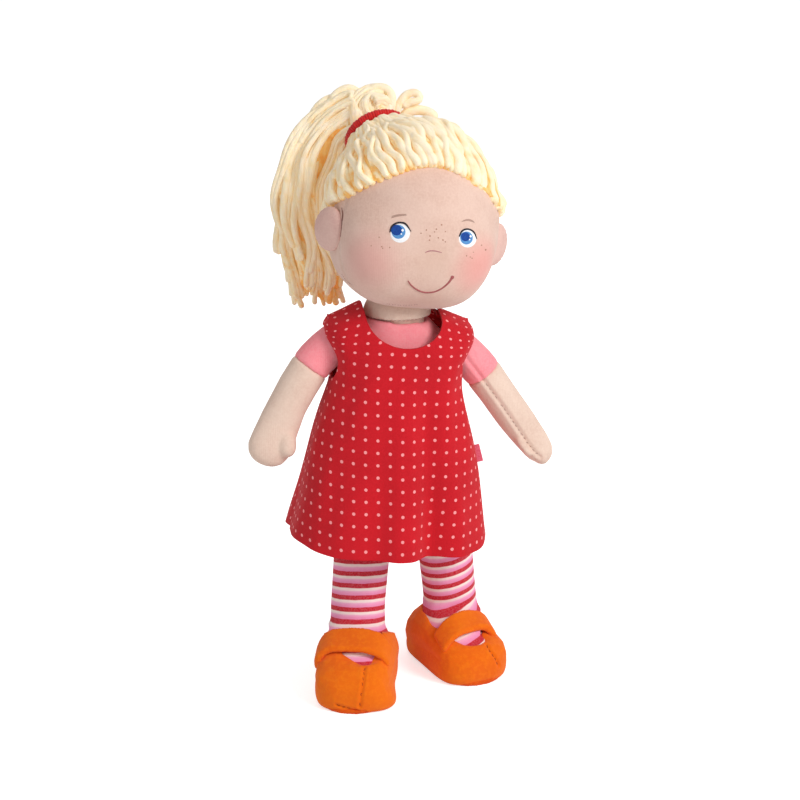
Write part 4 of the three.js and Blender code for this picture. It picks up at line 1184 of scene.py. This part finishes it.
LOOPS = [
    ([(382, 114), (377, 103), (369.5, 93.5), (373.5, 88),
      (384.5, 88), (391, 94.5), (391.5, 104), (388, 113)], 2.3, 0),
    ([(396, 114), (400, 103), (405.5, 95.5), (413.5, 92.5),
      (419, 95.5), (418, 100.5), (408.5, 102.5), (402, 108)], 2.1, 2),
    ([(402, 117.5), (408.5, 112), (418.5, 110), (429, 112.5), (437, 119)], 2.6, 5),
    ([(376, 116), (370, 104), (360, 94), (350, 88), (340, 91), (330, 100)], 2.0, 4),
    ([(370, 119), (358, 106), (344, 98), (330, 98), (318, 106), (309, 120)], 1.9, 6),
    ([(366, 121), (350, 112), (334, 108), (320, 114), (308, 128), (300, 145)], 1.9, 3),
]
lines = [at_depth(spline(pixels, 60), from_head(TIE + LEAN * 7), back) for pixels, _, back in LOOPS]
loops = bundle("ponytail_loops", lines, [row[1] for row in LOOPS], yarn, [0.1] * len(LOOPS), 8)
finish_piece(loops, "ponytail", ())


# Body

torso = soft_copy("torso_stuffed", "torso", shirt, 1.3, 8, 0.3)
finish_piece(torso, "torso", ["torso"])
neck = soft_copy("neck_stuffed", "neck", skin, 0.9, 6, 0.15)
finish_piece(neck, "neck", ["neck"])
ring = np.linspace(0, 2 * math.pi, 140)
NECK_RADIUS, NECK_SEAM = 17.0, 1.6
neck_ring = NECK_PIVOT + SHIFT + np.stack([
    NECK_RADIUS * np.cos(ring), NECK_RADIUS * np.sin(ring), np.full_like(ring, NECK_SEAM)], -1)
finish_piece(stitches("neck_stitches", neck, neck_ring, thread, 1.2, 1.0, 0.14), "neck")


def slumped(points):
    """Level lines slope down toward the doll's left, more so at the shoulders."""
    s = smooth(points[..., 2], HEM, SHOULDER)
    share = 0.09 * s + 0.05 * (1 - s)
    out = points.copy()
    out[..., 2] = points[..., 2] - share * (points[..., 0] - BODY_X)
    return out


ARM_SEAM = [(466, 357), (474, 368), (484, 381), (497, 399), (512, 420), (523, 436), (533, 450), (541, 458)]


def pointed_hand(x, y, points):
    """The hand narrows under its seam, and the arm lies a little further out."""
    seam = spline(ARM_SEAM + [(548, 467)], 120)
    pixels = np.stack([x, y], -1)
    nearest = np.linalg.norm(pixels[:, None, :] - seam[None, :, :], axis=2).argmin(axis=1)
    way = np.gradient(seam, axis=0)[nearest]
    normal = unit(np.stack([-way[:, 1], way[:, 0]], -1))
    off = np.sum((pixels - seam[nearest]) * normal, axis=1)
    pull = np.clip(off, 0, None) * lerp(0.05, 0.5, smooth(y, 410, 468))
    out = 3.5 * smooth(y, 375, 420)
    return out - normal[:, 0] * pull, -normal[:, 1] * pull - 2.0 * smooth(y, 440, 475), 0


ARM_MOVES = {
    "left": pointed_hand,
    "right": lambda x, y, points: (1.6 + 2.4 * smooth(y, 410, 440), -2.5 - 2.5 * smooth(y, 400, 450), 0),
}
for word in ("left", "right"):
    sleeve = soft_copy(f"sleeve_{word}_stuffed", f"sleeve_{word}", shirt, 0.9, 7, 0.35)
    hand = soft_copy(f"hand_{word}_stuffed", f"hand_{word}", skin, 0.9, 9, 0.45)
    for piece in (sleeve, hand):
        nudge(piece, ARM_MOVES[word])
        if word == "left":
            seen, _ = cast(piece, spline(ARM_SEAM, 60))
            groove(piece, seen, 0.9, 0.8)
    if word == "left":
        sewn = stitches("arm_left_stitches", hand, seen, thread, 1.4, 1.3, 0.13, 0.1)
        finish_piece(sewn, "arm_left")
    finish_piece(sleeve, f"arm_{word}", [f"sleeve_{word}"])
    finish_piece(hand, f"arm_{word}", [f"hand_{word}"])


# Legs and slippers

def turn_at(a, b, c):
    """Above nothing where the way from a over b to c turns left."""
    return (b[0] - a[0]) * (c[1] - a[1]) - (b[1] - a[1]) * (c[0] - a[0])


def hull(points):
    """The outline round points of a plan, anticlockwise."""
    def chain(items):
        row = []
        for p in items:
            while len(row) > 1 and turn_at(row[-2], row[-1], p) <= 0:
                row.pop()
            row.append(p)
        return row[:-1]
    order = sorted(map(tuple, points))
    return np.array(chain(order) + chain(order[::-1]))


def shoe_side(node):
    """The slipper's full lower side: rounds in under the foot to the edge of the sole."""
    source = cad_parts[node]
    spots = np.array([source.matrix_world @ v.co for v in source.data.vertices]) / MM
    outline = hull(spots[spots[:, 2] < 17][:, :2])
    closed = np.vstack([outline, outline[:1]])
    length = along(closed)[-1]
    ring = resample(closed, np.linspace(0, length, 120, endpoint=False))
    for _ in range(4):
        ring = (np.roll(ring, 1, axis=0) + 2 * ring + np.roll(ring, -1, axis=0)) / 4
    way = unit(np.roll(ring, -1, axis=0) - np.roll(ring, 1, axis=0))
    outward = np.stack([way[:, 1], -way[:, 0]], -1)
    profile = [(4.4, 0.15), (2.6, 0.3), (1.2, 1.2), (0.35, 2.8), (-0.1, 5), (-0.25, 8), (-0.1, 11), (0.5, 14),
               (1.6, 14), (2.4, 8), (3.6, 3.6), (5.0, 1.6)]
    rows = [np.column_stack([ring - outward * inset, np.full(len(ring), height)])
            for inset, height in profile]
    rows.append(rows[0])
    count = len(profile)
    faces = grid_faces(count + 1, len(ring), True) % (count * len(ring))
    return np.vstack(rows[:-1]), [list(map(int, face)) for face in faces]


# How far behind the hips each foot stands
STEPS = {"left": 7.0, "right": -15.0}
HIP_OUT, ANKLE_OUT, ANKLE_HEIGHT = 17, 26, 21.08


def left_collar(x, y, points):
    ankle_y = BODY_Y + STEPS["left"] + SHIFT[1]
    tip = smooth(x, 424, 440) * (1 - smooth(points[:, 1], ankle_y - 4, ankle_y + 8))
    down = 13 * (1 - smooth(y, 594, 665)) + 12 * tip * (1 - smooth(y, 600, 622))
    mouth = np.exp(-((x - 470) / 15) ** 2 - ((y - 629) / 9) ** 2)
    return 3 * mouth, down + 10 * mouth, 0


def right_collar(x, y, points):
    ankle_y = BODY_Y + STEPS["right"] + SHIFT[1]
    front = 1 - smooth(points[:, 1], ankle_y - 2, ankle_y + 10)
    front = np.maximum(front, np.maximum(smooth(x, 382, 388), 1 - smooth(x, 327, 333)))
    down = np.clip(633 - y, 0, 40) * 0.9 * front
    toe = 8 * smooth(y, 680, 708) * smooth(x, 350, 392)
    mouth = np.exp(-((x - 361) / 17) ** 2 - ((y - 652) / 10) ** 2)
    return 5 * mouth + toe - 4 * smooth(x, 385, 397) * (1 - smooth(y, 632, 650)), down + 11 * mouth, 0


def slim_ankle(x, y, span, heights):
    """Draws what stands out beside the ankle in to its two edges."""
    low, high = span
    inward = np.where(x < low, low - x, 0) + np.where(x > high, high - x, 0)
    return inward * smooth(y, heights[0], heights[1]) * (1 - smooth(y, heights[2], heights[3]))


COLLAR_MOVES = {"left": left_collar, "right": right_collar}
LEG_MOVES = {
    "left": lambda x, y, points: (
        1.2 * (1 - smooth(y, 625, 640)) + slim_ankle(x, y, (421.5, 479.5), (586, 600, 632, 645)), 0, 0),
    "right": lambda x, y, points: (
        (-7 + 2.5 * smooth(y, 600, 640)) * (1 - smooth(y, 640, 668))
        + slim_ankle(x - 5, y, (329, 389), (604, 616, 642, 655)), 0, 0),
}
STRAP_MOVES = {
    "left": lambda x, y, points: (lerp(9.0, -12.0, smooth(x, 425, 505)), 9 - 6 * smooth(x, 475, 505), 3.6),
    "right": lambda x, y, points: (
        5.5 * (1 - smooth(x, 312, 345)) - 4 * smooth(x, 378, 396),
        2 - 5 * (1 - smooth(x, 312, 345)), 0.6),
}
PATCH_MOVES = {"left": (-7, 0, -1.0), "right": (7, -3, -1.0)}
# The tilt of each leg's stripes and their repeat
STRIPES = {"left": (0.13, 6.4), "right": (0.08, 6.1)}
TOE_SEAMS = {
    "right": [[(364.4, 667), (363.8, 676), (362.2, 688), (360.6, 700), (359.8, 707)],
              [(336.4, 705), (351.3, 709.5), (371, 712.8)]],
    "left": [[(486.5, 644.5), (490.5, 651), (495.5, 658.5), (499.0, 666)]],
}
for word, side in (("left", 1), ("right", -1)):
    tilt, repeat = STRIPES[word]
    hip = np.array([PELVIS_X + side * HIP_OUT, BODY_Y, HIP]) + SHIFT
    ankle = np.array([PELVIS_X + side * ANKLE_OUT, BODY_Y + STEPS[word], ANKLE_HEIGHT]) + SHIFT
    axis = unit(unit(ankle - hip) + tilt * right)
    stripes = striped_material(f"striped_jersey_{word}", ankle - 1.05 * axis, axis, repeat)
    leg = soft_copy(f"leg_{word}_stuffed", f"leg_{word}", stripes, 1.2, 10, 0.5)
    nudge(leg, LEG_MOVES[word])
    finish_piece(leg, f"leg_{word}", [f"leg_{word}"])
    upper = soft_copy(f"shoe_{word}_upper", f"shoe_upper_{word}", fleece, 0.7, 8, 0.3,
                      shoe_side(f"shoe_upper_{word}"))
    nudge(upper, COLLAR_MOVES[word])
    sewn = []
    for row in TOE_SEAMS[word]:
        seen, _ = cast(upper, spline(row, 40))
        groove(upper, seen, 0.75, 0.8)
        sewn.append(seen)
    finish_piece(upper, f"leg_{word}", [f"shoe_upper_{word}"])
    for number, row in enumerate(sewn):
        thread_row = stitches(f"shoe_{word}_stitches_{number + 1}", upper, row, shoe_thread,
                              1.5, 1.2, 0.16, 0.12)
        finish_piece(thread_row, f"leg_{word}")
    sole = soft_copy(f"shoe_{word}_sole", f"shoe_sole_{word}", sole_fleece_shaded, 0.7, 5, 0.1)
    finish_piece(sole, f"leg_{word}", [f"shoe_sole_{word}"])
    strap = soft_copy(f"shoe_{word}_strap", f"shoe_strap_{word}", fleece, 0.5, 12, 0.85)
    nudge(strap, STRAP_MOVES[word])
    finish_piece(strap, f"strap_{word}", [f"shoe_strap_{word}"])
    patch = soft_copy(f"shoe_{word}_patch", f"shoe_patch_{word}", hook_tape, 0.3, 2, 0.05)
    nudge(patch, STRAP_MOVES[word])
    nudge(patch, lambda x, y, points: PATCH_MOVES[word])
    finish_piece(patch, f"leg_{word}", [f"shoe_patch_{word}"])


# Dress

DRESS_ROWS = [
    (0, 1, 1), (0.12, 0.95, 0.93), (0.28, 0.87, 0.83), (0.42, 0.79, 0.74), (0.56, 0.71, 0.67),
    (0.7, 0.64, 0.6), (0.8, 0.635, 0.56), (0.88, 0.655, 0.51), (0.94, 0.665, 0.44), (0.98, 0.655, 0.35),
    (1, 0.62, 0.2),
]
HALF_W, HALF_D = 48.5, 41.5
ARMHOLE, ARMHOLE_HALVES = (BODY_Y, 168.5), (12.5, 13.5)
LENGTH = STRAP_TOP - HEM
CLOTH = 1.0
OVER = 0.12
dress_fine = spline(DRESS_ROWS, 400)


def strap_slope(x):
    """How much higher the straps stand towards the neck."""
    return (27.9 - np.abs(x - BODY_X)) * np.where(x < BODY_X, 0.5, 0.36)


def dress_base(angle, rise, offset, fold):
    over = np.clip((rise - 1) / OVER, 0, 1)
    rise = np.minimum(rise, 1)
    wide = HALF_W * np.interp(rise, dress_fine[:, 0], dress_fine[:, 1])
    deep = HALF_D * np.interp(rise, dress_fine[:, 0], dress_fine[:, 2])
    deep = lerp(deep, -0.15 * HALF_D, over)
    power = lerp(2.6, 3.2, smooth(rise, 0.7, 0.9))
    low = np.maximum(0, rise)
    full = 1.6 * np.exp(-((low - 0.5) / 0.2) ** 2)
    full = full + np.where(np.cos(angle) > 0, 2.6, 2.2) * smooth(rise, 0.82, 0.95)
    x = BODY_X - 6 * (1 - low) ** 1.3 + (wide + full + offset) * signed_power(np.cos(angle), 2 / power)
    y = BODY_Y + (deep + offset) * signed_power(np.sin(angle), 2 / power)
    z = HEM + rise * LENGTH + offset * smooth(rise, 0.85, 1) + 1.2 * np.sin(math.pi * over)
    x = x + fold * np.cos(angle)
    y = y + fold * np.sin(angle)
    z = z + smooth(rise, 0.86, 1) * strap_slope(x)
    corner = np.exp(-((angle - math.radians(194)) / math.radians(22)) ** 2)
    z = z + 3.2 * corner * (1 - low) ** 4
    z = z + 2.6 * np.exp(-((angle - math.radians(346)) / math.radians(16)) ** 2) * (1 - low) ** 4
    return slumped(np.stack([x, y, z], axis=-1))


def angle_at(pixel_x):
    """The angle round the hem whose front point shows at a pixel column."""
    angle = np.radians(np.linspace(182, 358, 900))
    shown = project(dress_base(angle, np.zeros(900), np.zeros(900), np.zeros(900)) + SHIFT)[:, 0]
    return float(np.interp(pixel_x, shown, angle))


# Folds: where each one meets the hem in the photograph, how far it stands out, and its width
FRONT_FOLDS = [(300, 0.8, 9), (326, -0.9, 8), (356, 0.4, 9), (380, -0.8, 8), (404, 5.0, 7), (431, -5.4, 8),
               (457, 1.4, 8)]
front_folds = [(angle_at(px), height, math.radians(width)) for px, height, width in FRONT_FOLDS]
back_folds = [(math.radians(a), height, math.radians(width)) for a, height, width in [
    (18, -1.8, 8), (38, 2.2, 9), (58, -2.2, 9), (78, 2.4, 8), (97, -2.0, 8), (116, 2.3, 9), (138, -2.2, 9),
    (158, 1.8, 8), (176, -1.2, 7),
]]


def fold_at(angle, rise):
    total = 0
    for at, height, width in front_folds + back_folds:
        off = (angle - at + math.pi) % (2 * math.pi) - math.pi
        total = total + height * np.exp(-(off / width) ** 2)
    fade = np.clip(1 - np.maximum(0, rise) * 1.05, 0, 1) ** 1.15
    soft = 0.25 * np.sin(5 * angle + 9 * rise) + 0.2 * np.sin(11 * angle - 13 * rise + 2)
    return total * fade + soft


def front_offset(rise):
    return lerp(1.3, 2.4, smooth(rise, 0.8, 0.94))


def dress_grid(low, high, base, columns=190, rows=122):
    """Outer and inner points of a panel, and the flat cloth's coordinates at each."""
    angle = np.linspace(low, high, columns)[None, :]
    rise = np.linspace(0, 1 + OVER, rows)[:, None]
    angle, rise = np.broadcast_arrays(angle, rise)
    fold = fold_at(angle, np.minimum(rise, 1))
    lift = base(np.minimum(rise, 1))
    outer = dress_base(angle, rise, lift + CLOTH, fold) + SHIFT
    inner = dress_base(angle, rise, lift, fold) + SHIFT
    across = np.concatenate([np.zeros((rows, 1)),
                             np.cumsum(np.linalg.norm(np.diff(outer, axis=1), axis=2), axis=1)], axis=1)
    middle = columns // 2
    across = across - across[:, middle:middle + 1]
    down = along(outer[:, middle])
    flat = np.stack([across, np.broadcast_to(down[:, None], across.shape)], axis=-1)
    return outer, inner, flat


def panel_mesh(name, outer, inner, flat, cutters):
    rows, columns = outer.shape[:2]
    half = rows * columns
    faces = grid_faces(rows, columns)
    i = np.arange(columns - 1)
    j = np.arange(rows - 1) * columns
    last = (rows - 1) * columns
    bottom = np.stack([i, half + i, half + i + 1, i + 1], -1)
    top = np.stack([last + i, last + i + 1, half + last + i + 1, half + last + i], -1)
    left = np.stack([j, j + columns, half + j + columns, half + j], -1)
    k = j + columns - 1
    rightmost = np.stack([k, half + k, half + k + columns, k + columns], -1)
    faces = np.vstack([faces, faces[:, ::-1] + half, bottom, top, left, rightmost])
    points = np.concatenate([outer.reshape(-1, 3), inner.reshape(-1, 3)])
    uv = np.concatenate([flat.reshape(-1, 2)] * 2)[faces]
    obj = build(name, points, faces, dress_cotton, uv.reshape(-1, 2))
    face_outward(obj.data)
    for cutter in cutters:
        cut = obj.modifiers.new("cut", "BOOLEAN")
        cut.operation = "DIFFERENCE"
        cut.solver = "EXACT"
        cut.material_mode = "TRANSFER"
        cut.object = cutter
    return baked(obj)


def bar_cutter(axis, centre, halves, ends):
    """An elliptic bar along X or Y that follows the doll's slouch."""
    count, steps = 96, 9
    angle = circle(count)
    rings = []
    for place in np.linspace(*ends, steps):
        ring = np.zeros((count, 3))
        ring[:, axis] = place
        ring[:, 1 - axis] = centre[0] + halves[0] * np.cos(angle)
        ring[:, 2] = centre[1] + halves[1] * np.sin(angle)
        rings.append(slumped(ring) + SHIFT)
    points = np.vstack(rings)
    faces = [list(map(int, row)) for row in grid_faces(steps, count, True)]
    faces.append(list(range(count))[::-1])
    faces.append(list(range((steps - 1) * count, steps * count)))
    mesh = bpy.data.meshes.new("cutter")
    mesh.from_pydata((points * MM).tolist(), [], faces)
    face_outward(mesh)
    mesh.materials.append(dress_edge)
    return place_object("cutter", mesh)


far = 2 * HALF_D
# Two armholes, the neckline in front, behind and on top
cutters = [
    bar_cutter(0, ARMHOLE, ARMHOLE_HALVES, (BODY_X + 20, BODY_X + 70)),
    bar_cutter(0, ARMHOLE, ARMHOLE_HALVES, (BODY_X - 70, BODY_X - 20)),
    bar_cutter(1, (BODY_X, 193), (19.5, 16), (BODY_Y - far, BODY_Y)),
    bar_cutter(1, (BODY_X, 193), (19.5, 14), (BODY_Y - 0.01, BODY_Y + far)),
    bar_cutter(1, (BODY_X + 0.8, 203), (17.6, 13), (BODY_Y - far, BODY_Y + far)),
]
SPLIT = PELVIS_X + SHIFT[0]
# The front panel laps over the back one down the sides
lap = math.radians(2.0)
panels = {
    "front": (math.pi - lap, 2 * math.pi + lap, front_offset),
    "back": (-lap * 0.2, math.pi + lap * 0.2, lambda rise: rise * 0),
}


def follow(points):
    """How far the skirt follows a leg: nothing above the hips or between the legs, most in front."""
    low = 1 - smooth(points[:, 2], HEM + SHIFT[2] + 6, HIP + SHIFT[2] + 22)
    aside = smooth(np.abs(points[:, 0] - SPLIT), 0, 16)
    front = lerp(0.66, 0.2, smooth(points[:, 1], BODY_Y + SHIFT[1] - 16, BODY_Y + SHIFT[1] + 16))
    return low * aside * front


def make_panel(kind):
    low, high, base = panels[kind]
    outer, inner, flat = dress_grid(low, high, base)
    whole = panel_mesh(f"dress_{kind}", outer, inner, flat, cutters)
    with editing(whole.data) as work:
        bmesh.ops.bisect_plane(work, geom=work.verts[:] + work.edges[:] + work.faces[:], dist=1e-7,
                               plane_co=(SPLIT * MM, 0, 0), plane_no=(1, 0, 0))
    for word, sign in (("left", 1), ("right", -1)):
        data = whole.data.copy()
        part = place_object(f"dress_{kind}_{word}", data)
        with editing(data) as work:
            work.normal_update()
            drop = [f for f in work.faces if (f.calc_center_median().x - SPLIT * MM) * sign < 0]
            bmesh.ops.delete(work, geom=drop, context="FACES")
            rim = [e for e in work.edges if e.is_boundary]
            bmesh.ops.holes_fill(work, edges=rim, sides=0)
        round_shaded(data)
        data.set_sharp_from_angle(angle=math.radians(50))
        data.update()
        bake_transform(part, "torso", f"leg_{word}", (0, 0, (HIP + 22) * MM), (0, 0, (HEM + 6) * MM))
        weight = follow(points_of(part))
        data.attributes["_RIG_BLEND"].data.foreach_set("value", weight.astype(np.float32))
        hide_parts(f"dress_{kind}")
        uv = np.empty(len(data.loops) * 2, np.float32)
        data.uv_layers[0].data.foreach_get("uv", uv)
        uv = uv.reshape(-1, 2)
    bpy.data.objects.remove(whole)


make_panel("front")
make_panel("back")
for cutter in cutters:
    bpy.data.objects.remove(cutter)

for word in ("left", "right"):
    tape = soft_copy(f"closure_{word}_tape", f"dress_closure_{word}", hook_tape, 0.3, 1, 0.05)
    spots = points_of(tape)
    spots[:, 2] += strap_slope(spots[:, 0] - SHIFT[0])
    set_points(tape, spots)
    finish_piece(tape, "torso", [f"dress_closure_{word}"])
tag = soft_copy("tag_loop", "dress_tag", tag_ribbon, 0.25, 2, 0.08)
finish_piece(tag, "torso", ["dress_tag"])


# Floor, light and world

WHITE = (1, 1, 1, 1)
SKY_LIGHT, FLOOR_GLOW, FLOOR_HALF = 0.46, 0.6, 40000


def make_floor():
    points = [(x * FLOOR_HALF, y * FLOOR_HALF, 0) for x, y in ((-1, -1), (1, -1), (1, 1), (-1, 1))]
    paint = Paint("floor_paper", 0.9, 0.0)
    paint.colour(paint.mix(paint.noise(12, 2.0), rgb(238, 238, 238), rgb(244, 244, 244)))
    plain = paint.shader.outputs[0]
    glow = paint.add("ShaderNodeEmission", {0: WHITE, 1: FLOOR_GLOW})
    both = paint.add("ShaderNodeAddShader")
    paint.link(plain, both.inputs[0])
    paint.link(glow.outputs[0], both.inputs[1])
    paint.link(paint.pick(paint.looked_at(), plain, both.outputs[0]), paint.out.inputs[0])
    floor = build("floor", points, [(0, 1, 2, 3)], paint.material)


make_floor()

world = bpy.data.worlds.new("studio")
bpy.context.scene.world = world
world.use_nodes = True
sky = Nodes(world.node_tree)
out = sky.add("ShaderNodeOutputWorld")
light = sky.add("ShaderNodeBackground", {0: WHITE, 1: SKY_LIGHT})
card = sky.add("ShaderNodeBackground", {0: WHITE, 1: 1.0})
sky.link(sky.pick(sky.looked_at(), light.outputs[0], card.outputs[0]), out.inputs[0])

# The place of each lamp, the height that it aims at, its width and its power
LAMPS = {
    "key": ((0.75, -1.0, 1.0), 0.15, 0.6, 13.4),
    "fill": ((-1.1, -0.9, 0.6), 0.15, 0.9, 1.7),
    "back": ((0.3, 1.2, 1.0), 0.2, 0.8, 4.0),
}
for name, (place, aim, width, power) in LAMPS.items():
    data = bpy.data.lights.new(name, "AREA")
    data.shape = "DISK"
    data.size = width
    data.energy = power
    way = Vector((0, 0, aim)) - Vector(place)
    lamp = place_object(name, data)
    lamp.matrix_world = Matrix.Translation(Vector(place)) @ way.to_track_quat("-Z", "Y").to_matrix().to_4x4()

bpy.context.scene.view_settings.view_transform = "Standard"
